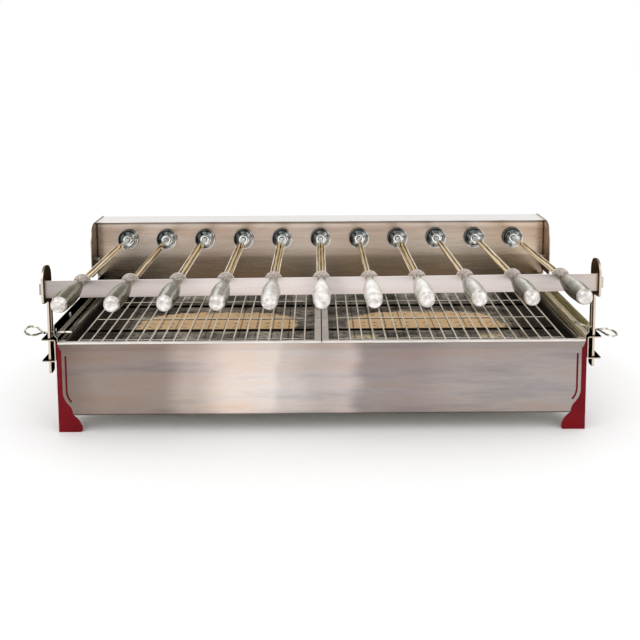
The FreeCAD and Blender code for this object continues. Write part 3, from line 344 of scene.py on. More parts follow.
# Stainless steel that glowing charcoal has blackened: sooty planks with dark seams, half matt,
# with a ragged tan patch in the middle where it ran hottest and a clean rim above
def emberTray(name, look):
    m = newMaterial(name)
    place = addNode(m, "TexCoord").outputs["Object"]
    xyz = addNode(m, "SeparateXYZ", {"Vector": place})
    cloud = drawnNoise(m, place, look["soot"], 6.0)
    grain = drawnNoise(m, place, look["grain"], 3.0)
    base = addNode(m, "ValToRGB", {"Fac": cloud}, stops=look["steel"])
    side = addNode(m, "Math", {0: xyz.outputs[0]}, operation="ABSOLUTE")
    centre, reach = look["patchMiddle"], look["patchReach"]
    dx = gapFrom(m, side.outputs[0], centre[0], reach[0])
    dx = addNode(m, "Math", {0: dx, 1: 4.0}, operation="POWER")
    dy = gapFrom(m, xyz.outputs[1], centre[1], reach[1])
    out = addNode(m, "Math", {0: dy, 1: dy, 2: dx.outputs[0]}, operation="MULTIPLY_ADD")
    ragged = drawnNoise(m, place, look["ragged"], 5.0)
    ragged = addNode(m, "MapRange", {"Value": ragged, "To Min": -0.5, "To Max": 0.5})
    out = addNode(m, "Math", {0: out.outputs[0], 1: ragged.outputs[0]}, operation="ADD")
    heat = addNode(m, "MapRange", {"Value": out.outputs[0], **fade((0.85, 1.0), 0.95, 0.0)})
    low = addNode(m, "MapRange", {"Value": xyz.outputs[2], **fade(look["floor"], 1.0, 0.0)})
    heat = addNode(m, "Math", {0: heat.outputs[0], 1: low.outputs[0]}, operation="MULTIPLY")
    behind = addNode(m, "Math", {0: xyz.outputs[1], 1: look["slots"][0]},
                     operation="GREATER_THAN")
    heat = addNode(m, "Math", {0: heat.outputs[0], 1: behind.outputs[0]}, operation="MULTIPLY")
    tan = addNode(m, "ValToRGB", {"Fac": ragged.outputs[0]}, stops=look["tan"])
    # the floor is duller towards the trays' outer ends
    far = addNode(m, "MapRange", {"Value": side.outputs[0], **fade(look["dullFrom"])})
    base = addNode(m, "Mix", {"Factor": far.outputs[0], 6: base.outputs[0],
                              7: linearColour(look["dull"])}, data_type="RGBA")
    colour = addNode(m, "Mix", {"Factor": heat.outputs[0], 6: base.outputs[2],
                                7: tan.outputs[0]}, data_type="RGBA")
    # two light patches in front: painted reflection on the soot
    ahead = addNode(m, "MapRange", {"Value": xyz.outputs[1], **fade(look["paintedGlintUntil"], 1.0, 0.0)})
    for middle, reach in look["paintedGlint"]:
        paintedGlint = gapFrom(m, xyz.outputs[0], middle, reach)
        paintedGlint = addNode(m, "Math", {0: paintedGlint, 1: ragged.outputs[0]}, operation="ADD")
        paintedGlint = addNode(m, "MapRange", {"Value": paintedGlint.outputs[0], **fade((0.7, 1.1), 0.85, 0.0)})
        paintedGlint = addNode(m, "Math", {0: paintedGlint.outputs[0], 1: ahead.outputs[0]},
                       operation="MULTIPLY")
        colour = addNode(m, "Mix", {"Factor": paintedGlint.outputs[0], 6: colour.outputs[2],
                                    7: linearColour(look["paintedGlintColour"])}, data_type="RGBA")
    # seams between the floor's planks
    half = look["plank"] / 2
    seam = addNode(m, "Math", {0: xyz.outputs[0], 1: half, 2: -half}, operation="WRAP")
    seam = addNode(m, "Math", {0: seam.outputs[0]}, operation="ABSOLUTE")
    seam = addNode(m, "MapRange", {"Value": seam.outputs[0], **fade(look["seamHalf"], 0.8, 0.0)})
    seam = addNode(m, "Math", {0: seam.outputs[0], 1: low.outputs[0]}, operation="MULTIPLY")
    colour = addNode(m, "Mix", {"Factor": seam.outputs[0], 6: colour.outputs[2],
                                7: linearColour(look["seam"])}, data_type="RGBA")
    # darker bands along the two long slots
    for along in look["slots"]:
        soot = addNode(m, "MapRange", {"Value": gapFrom(m, xyz.outputs[1], along),
                                       **fade(look["sootHalf"], 0.95, 0.0)})
        soot = addNode(m, "Math", {0: soot.outputs[0], 1: low.outputs[0]}, operation="MULTIPLY")
        colour = addNode(m, "Mix", {"Factor": soot.outputs[0], 6: colour.outputs[2],
                                    7: linearColour(look["seam"])}, data_type="RGBA")
    # small air holes, in rows that lie two and two
    hole = look["hole"]
    row = addNode(m, "Math", {0: xyz.outputs[1], 1: hole["rowFrom"]}, operation="SUBTRACT")
    row = addNode(m, "Math", {0: row.outputs[0], 1: hole["rowPitch"] / 2,
                              2: -hole["rowPitch"] / 2}, operation="WRAP")
    row = addNode(m, "Math", {0: row.outputs[0]}, operation="ABSOLUTE")
    row = gapFrom(m, row.outputs[0], hole["rowHalf"], hole["deep"])
    row = addNode(m, "Math", {0: row, 1: row}, operation="MULTIPLY")
    column = addNode(m, "Math", {0: xyz.outputs[0], 1: hole["pitch"] / 2,
                                 2: -hole["pitch"] / 2}, operation="WRAP")
    column = addNode(m, "Math", {0: column.outputs[0], 1: hole["wide"]}, operation="DIVIDE")
    hollow = addNode(m, "Math", {0: column.outputs[0], 1: column.outputs[0], 2: row.outputs[0]},
                     operation="MULTIPLY_ADD")
    hollow = addNode(m, "MapRange", {"Value": hollow.outputs[0], **fade((0.7, 1.3), 0.9, 0.0)})
    hollow = addNode(m, "Math", {0: hollow.outputs[0], 1: low.outputs[0]}, operation="MULTIPLY")
    colour = addNode(m, "Mix", {"Factor": hollow.outputs[0], 6: colour.outputs[2],
                                7: linearColour(look["seam"])}, data_type="RGBA")
    # the rim is clean, and along the outer flanges it shows dark lines and bright lines of painted
    # reflection
    rim = addNode(m, "MapRange", {"Value": xyz.outputs[2], **fade(look["rimFrom"])})
    clean = addNode(m, "ValToRGB", {"Fac": grain}, stops=look["rim"])
    flank = drawnNoise(m, place, look["flank"], 2.0)
    flank = addNode(m, "ValToRGB", {"Fac": flank}, stops=look["flankLines"])
    far = addNode(m, "MapRange", {"Value": side.outputs[0], **fade(look["flankFrom"])})
    inward = addNode(m, "MapRange", {"Value": xyz.outputs[1], **fade(look["lipUntil"])})
    far = addNode(m, "Math", {0: far.outputs[0], 1: inward.outputs[0]}, operation="MULTIPLY")
    clean = addNode(m, "Mix", {"Factor": far.outputs[0], 6: clean.outputs[0],
                               7: flank.outputs[0]}, data_type="RGBA")
    colour = addNode(m, "Mix", {"Factor": rim.outputs[0], 6: colour.outputs[2],
                                7: clean.outputs[2]}, data_type="RGBA")
    rough = addNode(m, "MapRange", {"Value": cloud, **fade((0.3, 0.7), 0.50, 0.26)})
    bump = addNode(m, "Bump", {"Height": cloud, "Strength": 0.4, "Distance": 0.8 * mm})
    metal = addNode(m, "MapRange", {"Value": heat.outputs[0], "To Min": 0.8, "To Max": 0.0})
    shader = addNode(m, "BsdfPrincipled", {"Base Color": colour.outputs[2],
                                           "Metallic": metal.outputs[0],
                                           "Specular Tint": linearColour(look["glance"]),
                                           "Roughness": rough.outputs[0],
                                           "Normal": bump.outputs[0]})
    return closeMaterial(m, shader)


trayLook = {
    "soot": (60 * mm, 45 * mm, 60 * mm), "grain": (30 * mm, 0.8 * mm, 0.8 * mm),
    "steel": [(0.34, "55534F"), (0.48, "8B8883"), (0.58, "BCB8B1"), (0.70, "F0ECE4")],
    "floor": (151 * mm, 153 * mm), "rimFrom": (168 * mm, 174 * mm),    # heights
    "dull": "4A4744", "dullFrom": (385 * mm, 425 * mm),
    "tan": [(0.30, "E2BF90"), (0.48, "FFE3B8"), (0.62, "FFF2D8")], "glance": "A8A49D",
    "ragged": (24 * mm, 12 * mm, 24 * mm),
    "slots": (panelY + 170 * mm, faceY - 80 * mm),
    "patchMiddle": (217 * mm, 30 * mm), "patchReach": (168 * mm, 112 * mm),
    "plank": 33.5 * mm, "seam": "0E0D0C", "seamHalf": (0.6 * mm, 1.6 * mm),
    "sootHalf": (8 * mm, 12 * mm),
    "hole": {"pitch": 22.3 * mm, "wide": 2.6 * mm, "deep": 3.4 * mm,
             "rowFrom": 38 * mm, "rowPitch": 85 * mm, "rowHalf": 13 * mm},
    "flankFrom": (420 * mm, 426 * mm), "flank": (6 * mm, 700 * mm, 8 * mm),
    "lipUntil": (panelY + 12 * mm, panelY + 18 * mm),
    "flankLines": [(0.38, "2A261D"), (0.46, "5A5242"), (0.50, "FFF8E4"), (0.54, "6E6452"),
                   (0.60, "2A261D"), (0.66, "E4DAC2")],
    # two patches of painted reflection in front
    "paintedGlint": ((86 * mm, 30 * mm), (341 * mm, 24 * mm)), "paintedGlintColour": "F4E4BC",
    "paintedGlintUntil": (panelY + 120 * mm, panelY + 140 * mm),
    "rim": [(0.3, "CFC8C1"), (0.7, "F4EFEA")],
}


# Drawn stainless wire, bright where tongs rub it and browned between
def brightWire(name, look):
    m = newMaterial(name)
    place = addNode(m, "TexCoord").outputs["Object"]
    burn = drawnNoise(m, place, look["patch"], 4.0)
    tone = addNode(m, "ValToRGB", {"Fac": burn}, stops=look["wire"])
    colour = tone.outputs[0]
    # the cross wires under the others are painted darker, as painted shade
    if "under" in look:
        height = addNode(m, "SeparateXYZ", {"Vector": place})
        under = addNode(m, "MapRange", {"Value": height.outputs[2],
                                        **fade(look["under"], 1.0, 0.0)})
        colour = addNode(m, "Mix", {"Factor": under.outputs[0], 6: colour,
                                    7: linearColour(look["dull"])},
                         data_type="RGBA").outputs[2]
    fine = drawnNoise(m, place, (1.5 * mm, 1.5 * mm, 1.5 * mm), 2.0)
    bump = addNode(m, "Bump", {"Height": fine, "Strength": 0.2, "Distance": 0.1 * mm})
    rough = addNode(m, "MapRange", {"Value": burn, "To Min": look["rough"][1],
                                    "To Max": look["rough"][0]})
    shader = addNode(m, "BsdfPrincipled", {"Base Color": colour,
                                           "Metallic": look["metal"],
                                           "Roughness": rough.outputs[0],
                                           "Normal": bump.outputs[0]})
    return closeMaterial(m, shader)


grateLook = {"patch": (70 * mm, 70 * mm, 70 * mm), "rough": (0.22, 0.40), "metal": 0.5,
             "wire": [(0.34, "B9AE9A"), (0.46, "F4ECDB"), (0.66, "FFFBF0")],
             "under": (163.4 * mm, 164.0 * mm), "dull": "6A6259"}
pinLook = {"patch": (9 * mm, 9 * mm, 4 * mm), "rough": (0.16, 0.30), "metal": 1.0,
           "wire": [(0.36, "5E5F52"), (0.48, "B0AB99"), (0.60, "FBF7EC")]}


# Where a point lies against its own skewer's axis: sideways, above, its distance from the
# housing face, and which skewer it is on, as that skewer's place from side to side
def skewerPlace(m):
    place = addNode(m, "TexCoord").outputs["Object"]
    xyz = addNode(m, "SeparateXYZ", {"Vector": place})
    pitch = layout["pitch"]
    sideways = addNode(m, "Math", {0: xyz.outputs[0], 1: pitch / 2, 2: -pitch / 2},
                       operation="WRAP").outputs[0]
    station = addNode(m, "Math", {0: faceY, 1: xyz.outputs[1]}, operation="SUBTRACT").outputs[0]
    skewer = addNode(m, "Math", {0: xyz.outputs[0], 1: sideways}, operation="SUBTRACT").outputs[0]
    slope = addNode(m, "Math", {0: skewer, 1: math.tan(layout["barLean"]) / layout["barStation"],
                                2: math.sin(layout["meanRise"])}, operation="MULTIPLY_ADD")
    lift = addNode(m, "Math", {0: station, 1: slope.outputs[0], 2: layout["socketHeight"]},
                   operation="MULTIPLY_ADD")
    above = addNode(m, "Math", {0: xyz.outputs[2], 1: lift.outputs[0]},
                    operation="SUBTRACT").outputs[0]
    return place, sideways, above, station, skewer


def axisRadius(m, sideways, above):
    square = addNode(m, "Math", {0: above, 1: above}, operation="MULTIPLY")
    square = addNode(m, "Math", {0: sideways, 1: sideways, 2: square.outputs[0]},
                     operation="MULTIPLY_ADD")
    return addNode(m, "Math", {0: square.outputs[0]}, operation="SQRT").outputs[0]


# Rolled stainless blade: painted shade in the bottom of the V, straw-gold towards the edges of its
# arms, partly tint from the fire and partly painted reflection, with dark bands of painted shade
# and near-white bands of painted highlight, plain at the tang and at the guard
def bladeSteel(name, look, turned):
    m = newMaterial(name)
    place, sideways, above, station = skewerPlace(m)[:4]
    reach = gapFrom(m, above if turned else sideways, 0.0, look["arm"])
    line = drawnNoise(m, place, look["line"], 3.0)
    stray = addNode(m, "MapRange", {"Value": line, "To Min": -look["stray"],
                                    "To Max": look["stray"]})
    reach = addNode(m, "Math", {0: reach, 1: stray.outputs[0]}, operation="ADD")
    # ramp across the arms: dark bands of painted shade, near-white bands of painted highlight, and
    # straw-gold, partly tint from the fire and partly painted reflection
    gold = addNode(m, "ValToRGB", {"Fac": reach.outputs[0]}, stops=look["gold"])
    steel = addNode(m, "ValToRGB", {"Fac": line}, stops=look["steel"])
    neck = addNode(m, "ValToRGB", {"Fac": line}, stops=look["neck"])
    inFire = addNode(m, "MapRange", {"Value": station, **fade(look["tintFrom"])})
    colour = addNode(m, "Mix", {"Factor": inFire.outputs[0], 6: steel.outputs[0],
                                7: gold.outputs[0]}, data_type="RGBA")
    atNeck = addNode(m, "MapRange", {"Value": station, **fade(look["tintUntil"])})
    colour = addNode(m, "Mix", {"Factor": atNeck.outputs[0], 6: colour.outputs[2],
                                7: neck.outputs[0]}, data_type="RGBA")
    bump = addNode(m, "Bump", {"Height": line, "Strength": 0.15, "Distance": 0.05 * mm})
    shader = addNode(m, "BsdfPrincipled", {"Base Color": colour.outputs[2],
                                           "Metallic": look["metal"],
                                           "Specular Tint": linearColour(look["glance"]),
                                           "Roughness": look["rough"],
                                           "Normal": bump.outputs[0]})
    return closeMaterial(m, shader)


bladeLook = {
    "arm": 9 * mm, "line": (2.5 * mm, 90 * mm, 2.5 * mm), "stray": 0.28,
    "gold": [(0.02, "2A2418"), (0.12, "A0824E"), (0.24, "F0CE92"), (0.40, "FFF2DA"),
             (0.52, "CBA266"), (0.60, "15130C"), (0.73, "1D1B12"), (0.83, "EBD09A"),
             (0.95, "FFF8E6")],
    "glance": "B5AA92", "metal": 0.45, "rough": 0.22,
    "steel": [(0.34, "A8B0B3"), (0.50, "DDE1E1"), (0.64, "FFFFFF")],
    "neck": [(0.34, "A59A92"), (0.50, "BFB4AC"), (0.64, "E2DAD3")],
    "tintFrom": (66 * mm, 84 * mm), "tintUntil": (432 * mm, 446 * mm),
}


# Aluminium cast in a mould and polished by hand, with faint pits. Its long dark and light flanks
# are painted shade and painted highlight by the side of the handle, the handles near the middle
# are painted pale as painted highlight and those on the left darker as painted shade, and the
# blunt end is painted near white as a painted highlight
def castAluminium(name, look):
    m = newMaterial(name)
    place, sideways, above, station, skewer = skewerPlace(m)
    radius = axisRadius(m, sideways, above)
    ripple = drawnNoise(m, place, look["ripple"], 3.0)
    stray = addNode(m, "MapRange", {"Value": ripple, "To Min": -look["stray"],
                                    "To Max": look["stray"]})
    side = addNode(m, "Math", {0: sideways, 1: radius}, operation="DIVIDE")
    side = addNode(m, "Math", {0: side.outputs[0], 1: stray.outputs[0]}, operation="ADD")
    side = addNode(m, "MapRange", {"Value": side.outputs[0], **fade((-1.0, 1.0))})
    # dark and light flanks by the side of the handle: painted shade and painted highlight
    dark = addNode(m, "ValToRGB", {"Fac": side.outputs[0]}, stops=look["darkRow"])
    pale = addNode(m, "ValToRGB", {"Fac": side.outputs[0]}, stops=look["paleRow"])
    # handles near the middle painted pale: painted highlight
    row = addNode(m, "MapRange", {"Value": gapFrom(m, skewer, look["whitest"]),
                                  **fade(look["paleWithin"], 1.0, 0.0)})
    colour = addNode(m, "Mix", {"Factor": row.outputs[0], 6: dark.outputs[0],
                                7: pale.outputs[0]}, data_type="RGBA")
    # handles on the left darkened: painted shade
    dim = addNode(m, "MapRange", {"Value": skewer, **fade(look["dimFrom"], 1.0, 0.0)})
    colour = addNode(m, "Mix", {"Factor": dim.outputs[0], 6: colour.outputs[2],
                                7: linearColour(look["dim"])}, data_type="RGBA",
                     blend_type="MULTIPLY")
    blotch = drawnNoise(m, place, look["blotch"], 2.0)
    blotch = addNode(m, "ValToRGB", {"Fac": blotch}, stops=look["shade"])
    colour = addNode(m, "Mix", {"Factor": look["blotchAmount"], 6: colour.outputs[2],
                                7: blotch.outputs[0]}, data_type="RGBA",
                     blend_type="MULTIPLY")
    metal = addNode(m, "MapRange", {"Value": row.outputs[0], "To Min": look["metal"][0],
                                    "To Max": look["metal"][1]})
    # blunt end painted near white: painted highlight
    end = addNode(m, "MapRange", {"Value": station, **fade(look["endFrom"])})
    white = addNode(m, "ValToRGB", {"Fac": ripple}, stops=look["end"])
    colour = addNode(m, "Mix", {"Factor": end.outputs[0], 6: colour.outputs[2],
                                7: white.outputs[0]}, data_type="RGBA")
    pit = drawnNoise(m, place, look["pit"], 2.0)
    both = addNode(m, "Math", {0: ripple, 1: 3.0, 2: pit}, operation="MULTIPLY_ADD")
    bump = addNode(m, "Bump", {"Height": both.outputs[0], "Strength": 0.35,
                               "Distance": 0.35 * mm})
    rough = addNode(m, "Mix", {"Factor": end.outputs[0], 2: look["rough"][0],
                               3: look["rough"][1]}, data_type="FLOAT")
    shader = addNode(m, "BsdfPrincipled", {"Base Color": colour.outputs[2],
                                           "Metallic": metal.outputs[0],
                                           "Specular Tint": linearColour(look["glance"]),
                                           "Roughness": rough.outputs[0],
                                           "Normal": bump.outputs[0]})
    return closeMaterial(m, shader)


handleLook = {
    "ripple": (9 * mm, 40 * mm, 9 * mm), "stray": 0.22, "pit": (1.2 * mm, 1.2 * mm, 1.2 * mm),
    "darkRow": [(0.0, "4E4D45"), (0.14, "8D8A7F"), (0.28, "B5B2A7"), (0.40, "FFFFFA"),
                (0.50, "FFFFFA"), (0.60, "9C998D"), (0.80, "86847A"), (0.92, "E8E5DC"),
                (1.0, "6B695F")],
    "dim": "ACA89C", "dimFrom": (-400 * mm, -120 * mm),
    "paleRow": [(0.0, "DDD8CF"), (0.20, "F8F4ED"), (0.40, "FFFFFF"), (0.58, "FFFEF8"),
                (0.76, "F1ECE3"), (1.0, "C4BFB4")],
    "whitest": 75 * mm, "paleWithin": (70 * mm, 280 * mm), "metal": (0.75, 0.2),
    "blotch": (16 * mm, 30 * mm, 16 * mm), "blotchAmount": 0.5,
    "shade": [(0.38, "BEBBB2"), (0.54, "FFFFFF")],
    "end": [(0.34, "BDB5AF"), (0.48, "D6D0CB"), (0.64, "F4F0EC")],
    "endFrom": (623.5 * mm, 627 * mm), "glance": "BDBAB1",
    "rough": (0.13, 0.30),
}


# Bright chromium plate over turned steel: a painted reflection that runs from dark to light round
# the cup, painted shade in the mouth and at the root of the boss, and the tool's rings just
# showing
def chromePlate(name, look):
    m = newMaterial(name)
    place, sideways, above = skewerPlace(m)[:3]
    radius = axisRadius(m, sideways, above)
    ring = addNode(m, "Math", {0: radius, 1: 2 * math.pi / look["ring"]}, operation="MULTIPLY")
    ring = addNode(m, "Math", {0: ring.outputs[0]}, operation="SINE")
    mist = drawnNoise(m, place, look["mist"], 4.0)
    stray = addNode(m, "MapRange", {"Value": mist, "To Min": -look["stray"],
                                    "To Max": look["stray"]})
    turned = addNode(m, "Math", {0: sideways, 1: above}, operation="SUBTRACT")
    turned = addNode(m, "Math", {0: turned.outputs[0], 1: radius}, operation="DIVIDE")
    turned = addNode(m, "Math", {0: turned.outputs[0], 1: stray.outputs[0]}, operation="ADD")
    turned = addNode(m, "MapRange", {"Value": turned.outputs[0], **fade((-1.42, 1.42))})
    # tone round the cup: painted reflection
    cup = addNode(m, "ValToRGB", {"Fac": turned.outputs[0]}, stops=look["cup"])
    boss = addNode(m, "ValToRGB", {"Fac": mist}, stops=look["boss"])
    beyond = addNode(m, "MapRange", {"Value": radius, **fade(look["bossEdge"])})
    colour = addNode(m, "Mix", {"Factor": beyond.outputs[0], 6: boss.outputs[0],
                                7: cup.outputs[0]}, data_type="RGBA")
    # dark ring at the root of the boss: painted shade
    root = addNode(m, "MapRange", {"Value": gapFrom(m, radius, look["rootAt"]),
                                   **fade(look["rootHalf"], 0.8, 0.0)})
    colour = addNode(m, "Mix", {"Factor": root.outputs[0], 6: colour.outputs[2],
                                7: linearColour(look["mouth"])}, data_type="RGBA")
    # dark mouth: painted shade
    mouth = addNode(m, "MapRange", {"Value": radius, **fade(look["mouthEdge"], 1.0, 0.0)})
    colour = addNode(m, "Mix", {"Factor": mouth.outputs[0], 6: colour.outputs[2],
                                7: linearColour(look["mouth"])}, data_type="RGBA")
    rough = addNode(m, "MapRange", {"Value": mist, "To Min": look["rough"][0],
                                    "To Max": look["rough"][1]})
    bump = addNode(m, "Bump", {"Height": ring.outputs[0], "Strength": 0.12,
                               "Distance": 0.05 * mm})
    shader = addNode(m, "BsdfPrincipled", {"Base Color": colour.outputs[2], "Metallic": 1.0,
                                           "Roughness": rough.outputs[0],
                                           "Normal": bump.outputs[0]})
    return closeMaterial(m, shader)


spindleLook = {
    "ring": 1.1 * mm, "mist": (7 * mm, 7 * mm, 7 * mm), "stray": 0.5,
    "cup": [(0.08, "6E7575"), (0.30, "4B5151"), (0.48, "9BA1A1"), (0.62, "EEF1F1"),
            (0.74, "7B8383"), (0.88, "F3F5F5")], "rough": (0.06, 0.22),
    "boss": [(0.36, "D5D3CE"), (0.56, "FBF9F5")], "mouth": "3B3C3A",
    "bossEdge": (10.0 * mm, 10.8 * mm), "mouthEdge": (6.3 * mm, 6.7 * mm),    # radii
    "rootAt": 10.6 * mm, "rootHalf": (0.6 * mm, 1.2 * mm),
}


# Sprayed enamel on folded steel: an even satin coat with a little orange peel, drawn about
# twice as coarse as the real one so that it shows
def sprayedEnamel(name, look):
    m = newMaterial(name)
    place = addNode(m, "TexCoord").outputs["Object"]
    peel = drawnNoise(m, place, look["peel"], 2.0)
    shade = drawnNoise(m, place, look["cloud"], 3.0)
    tone = addNode(m, "ValToRGB", {"Fac": shade}, stops=look["paint"])
    bump = addNode(m, "Bump", {"Height": peel, "Strength": 0.2, "Distance": 0.1 * mm})
    rough = addNode(m, "MapRange", {"Value": shade, "To Min": look["rough"][0],
                                    "To Max": look["rough"][1]})
    shader = addNode(m, "BsdfPrincipled", {"Base Color": tone.outputs[0], "Metallic": 0.0,
                                           "Roughness": rough.outputs[0], "IOR": 1.5,
                                           "Specular IOR Level": look["specular"],
                                           "Normal": bump.outputs[0]})
    return closeMaterial(m, shader)


legLook = {"peel": (2.2 * mm, 2.2 * mm, 2.2 * mm), "cloud": (60 * mm, 60 * mm, 60 * mm),
           "paint": [(0.35, "690610"), (0.65, "780B16")], "rough": (0.34, 0.48),
           "specular": 0.12}


# Plain metals and plastics of the drive and the inlet. Oiled chain is dark with a dull shine,
# sand cast aluminium grey and grainy, turned bronze brown and smooth, mill steel plain grey,
# moulded nylon black and satin, polycarbonate glossy red, and zinc pale grey.
def workshopMetal(name, look):
    m = newMaterial(name)
    place = addNode(m, "TexCoord").outputs["Object"]
    patch = addNode(m, "TexNoise", {"Vector": place, "Scale": 1 / look["patch"], "Detail": 5.0})
    fine = addNode(m, "TexNoise", {"Vector": place, "Scale": 1 / look["grit"], "Detail": 2.0})
    tone = addNode(m, "ValToRGB", {"Fac": patch.outputs[0]},
                   stops=[(0.34, look["dark"]), (0.66, look["light"])])
    rough = addNode(m, "MapRange", {"Value": patch.outputs[0], "To Min": look["rough"][0],
                                    "To Max": look["rough"][1]})
    bump = addNode(m, "Bump", {"Height": fine.outputs[0], "Strength": look["relief"],
                               "Distance": 0.2 * mm})
    shader = addNode(m, "BsdfPrincipled", {"Base Color": tone.outputs[0],
                                           "Metallic": look["metal"], "IOR": look["ior"],
                                           "Roughness": rough.outputs[0],
                                           "Normal": bump.outputs[0]})
    return closeMaterial(m, shader)


driveLooks = {
    "oiledChainSteel": {"patch": 12 * mm, "grit": 1 * mm, "dark": "38352F", "light": "6A655C",
                        "rough": (0.25, 0.45), "relief": 0.2, "metal": 1.0, "ior": 1.5},
    "sandCastAluminium": {"patch": 20 * mm, "grit": 0.9 * mm, "dark": "8E9091", "light": "A9ABAB",
                          "rough": (0.45, 0.62), "relief": 0.6, "metal": 1.0, "ior": 1.5},
    "turnedBronze": {"patch": 10 * mm, "grit": 0.8 * mm, "dark": "8A6A3A", "light": "B08B52",
                     "rough": (0.28, 0.42), "relief": 0.2, "metal": 1.0, "ior": 1.5},
    "millSteel": {"patch": 50 * mm, "grit": 1.2 * mm, "dark": "7F7C78", "light": "A3A09B",
                  "rough": (0.32, 0.5), "relief": 0.25, "metal": 1.0, "ior": 1.5},
    "blackNylon": {"patch": 14 * mm, "grit": 0.7 * mm, "dark": "141414", "light": "202020",
                   "rough": (0.42, 0.55), "relief": 0.35, "metal": 0.0, "ior": 1.5},
    "redPolycarbonate": {"patch": 14 * mm, "grit": 1.2 * mm, "dark": "8E1414", "light": "A81A18",
                         "rough": (0.18, 0.28), "relief": 0.1, "metal": 0.0, "ior": 1.58},
    "zincRivet": {"patch": 8 * mm, "grit": 0.8 * mm, "dark": "9A9894", "light": "C4C2BE",
                  "rough": (0.25, 0.4), "relief": 0.2, "metal": 1.0, "ior": 1.5},
}

panelSteel = sheetMetal("brushedStainlessPanel", panelLook)
faceSteel = sheetMetal("brushedStainlessHousing", faceLook)
coverSteel = sheetMetal("brushedStainlessCover", coverLook)
cheekSteel = sheetMetal("brushedStainlessEndPlate", cheekLook)
wallSteel = sheetMetal("brushedStainlessWall", wallLook)
rightWallSteel = sheetMetal("brushedStainlessWallLit", rightWallLook)
barSteel = sheetMetal("brushedStainlessBar", barLook)
plateSteel = sheetMetal("laserCutStainless", plateLook)
bracketSteel = sheetMetal("foldedStainlessBracket", bracketLook)
traySteel = emberTray("sootedStainless", trayLook)
grateWire = brightWire("drawnGrateWire", grateLook)
pinWire = brightWire("bentPinWire", pinLook)
blades = [bladeSteel("heatTintAndShadeBladeSteel", bladeLook, False),
          bladeSteel("heatTintAndShadeBladeSteelTurned", bladeLook, True)]
handle = castAluminium("polishedCastAluminium", handleLook)
chrome = chromePlate("brightChromePlate", spindleLook)
legPaint = sprayedEnamel("darkRedEnamel", legLook)
drive = {name: workshopMetal(name, look) for name, look in driveLooks.items()}
print("materials made")

for n in range(1, layout["skewers"] + 1):
    finishNode("skewer_blade_%02d" % n, blades[layout["quarterTurns"][n - 1]])
    finishNode("skewer_handle_%02d" % n, handle)
    finishNode("spindle_%02d" % n, chrome)
finishes = {
    "front_panel": panelSteel, "housing_face": faceSteel, "housing_cover": coverSteel,
    "housing_end_plates": cheekSteel, "housing_base": drive["millSteel"],
    "right_side_wall": rightWallSteel, "left_side_wall": wallSteel, "firebox_floor": wallSteel,
    "front_legs": legPaint, "rear_legs": legPaint,
    "right_ember_tray": traySteel, "left_ember_tray": traySteel,
    "right_grate": grateWire, "left_grate": grateWire,
    "rest_bar": barSteel, "right_rest_plate": plateSteel, "left_rest_plate": plateSteel,
    "guide_brackets": bracketSteel, "right_ring_pin": pinWire, "left_ring_pin": pinWire,
    "rivets": drive["zincRivet"], "drive_chain": drive["oiledChainSteel"],
    "gearmotor": drive["sandCastAluminium"], "spindle_bushes": drive["turnedBronze"],
    "bearing_plate": drive["millSteel"], "power_inlet": drive["blackNylon"],
    "switch_rocker": drive["redPolycarbonate"],
}
for name, material in finishes.items():
    finishNode(name, material)
print("frame nodes finished")


def deselectAll():
    bpy.ops.object.select_all(action="DESELECT")


# Selects the faces of the mesh in edit mode that look one way, by their normals
def selectFacing(mesh, way):
    bpy.ops.mesh.select_all(action="DESELECT")
    bpy.ops.object.mode_set(mode="OBJECT")
    for face in mesh.polygons:
        face.select = face.normal.dot(Vector(way)) > 0.99
    bpy.ops.object.mode_set(mode="EDIT")


def pushOut(mesh, way, distance):
    selectFacing(mesh, way)
    bpy.ops.mesh.extrude_region_move(
        TRANSFORM_OT_translate={"value": Vector(way) * distance})


# Ends a piece: out of edit mode, its place applied to its mesh, smooth but for sharp edges
def endPiece(piece, material, width):
    bpy.ops.mesh.select_all(action="SELECT")
    bpy.ops.mesh.normals_make_consistent(inside=False)
    bpy.ops.object.mode_set(mode="OBJECT")
    bevel = piece.modifiers.new("softEdges", "BEVEL")
    bevel.width = width
    bevel.segments = 2
    bpy.ops.object.modifier_apply(modifier=bevel.name)
    bpy.ops.object.transform_apply(location=True, rotation=True, scale=True)
    bpy.ops.object.shade_smooth_by_angle(angle=math.radians(35))
    piece.data.materials.append(material)


def copyPiece(piece, name, change):
    copy = bpy.data.objects.new(name, piece.data.copy())
    copy.data.transform(change)
    bpy.context.scene.collection.objects.link(copy)
    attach(copy, "casing")


# Small folded angles in the corner where each end plate meets the housing face
seamTab = {
    "stock": 1.2 * mm, "leaf": 4.4 * mm, "high": 9 * mm, "clear": 0.05 * mm,
    "heights": (243 * mm, 201 * mm),
}
thick = seamTab["stock"]
corner = (layout["housingHalf"] - thick / 2 - seamTab["clear"],
          faceY - thick / 2 - seamTab["clear"], seamTab["heights"][0])
deselectAll()
bpy.ops.mesh.primitive_cube_add(size=1, location=corner, scale=(thick, thick, seamTab["high"]))
tab = bpy.context.object
tab.name = "seam_tab_right_high"
bpy.ops.object.transform_apply(location=False, rotation=False, scale=True)
bpy.ops.object.mode_set(mode="EDIT")
pushOut(tab.data, (-1, 0, 0), seamTab["leaf"])
pushOut(tab.data, (0, -1, 0), seamTab["leaf"])
endPiece(tab, drive["zincRivet"], 0.25 * mm)
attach(tab, "casing")
lower = Matrix.Translation((0, 0, seamTab["heights"][1] - seamTab["heights"][0]))
quarter = (Matrix.Translation((-corner[0], corner[1], 0)) @ Matrix.Rotation(math.pi / 2, 4, "Z")
           @ Matrix.Translation((-corner[0], -corner[1], 0)))
copyPiece(tab, "seam_tab_right_low", lower)
copyPiece(tab, "seam_tab_left_high", quarter)
copyPiece(tab, "seam_tab_left_low", lower @ quarter)

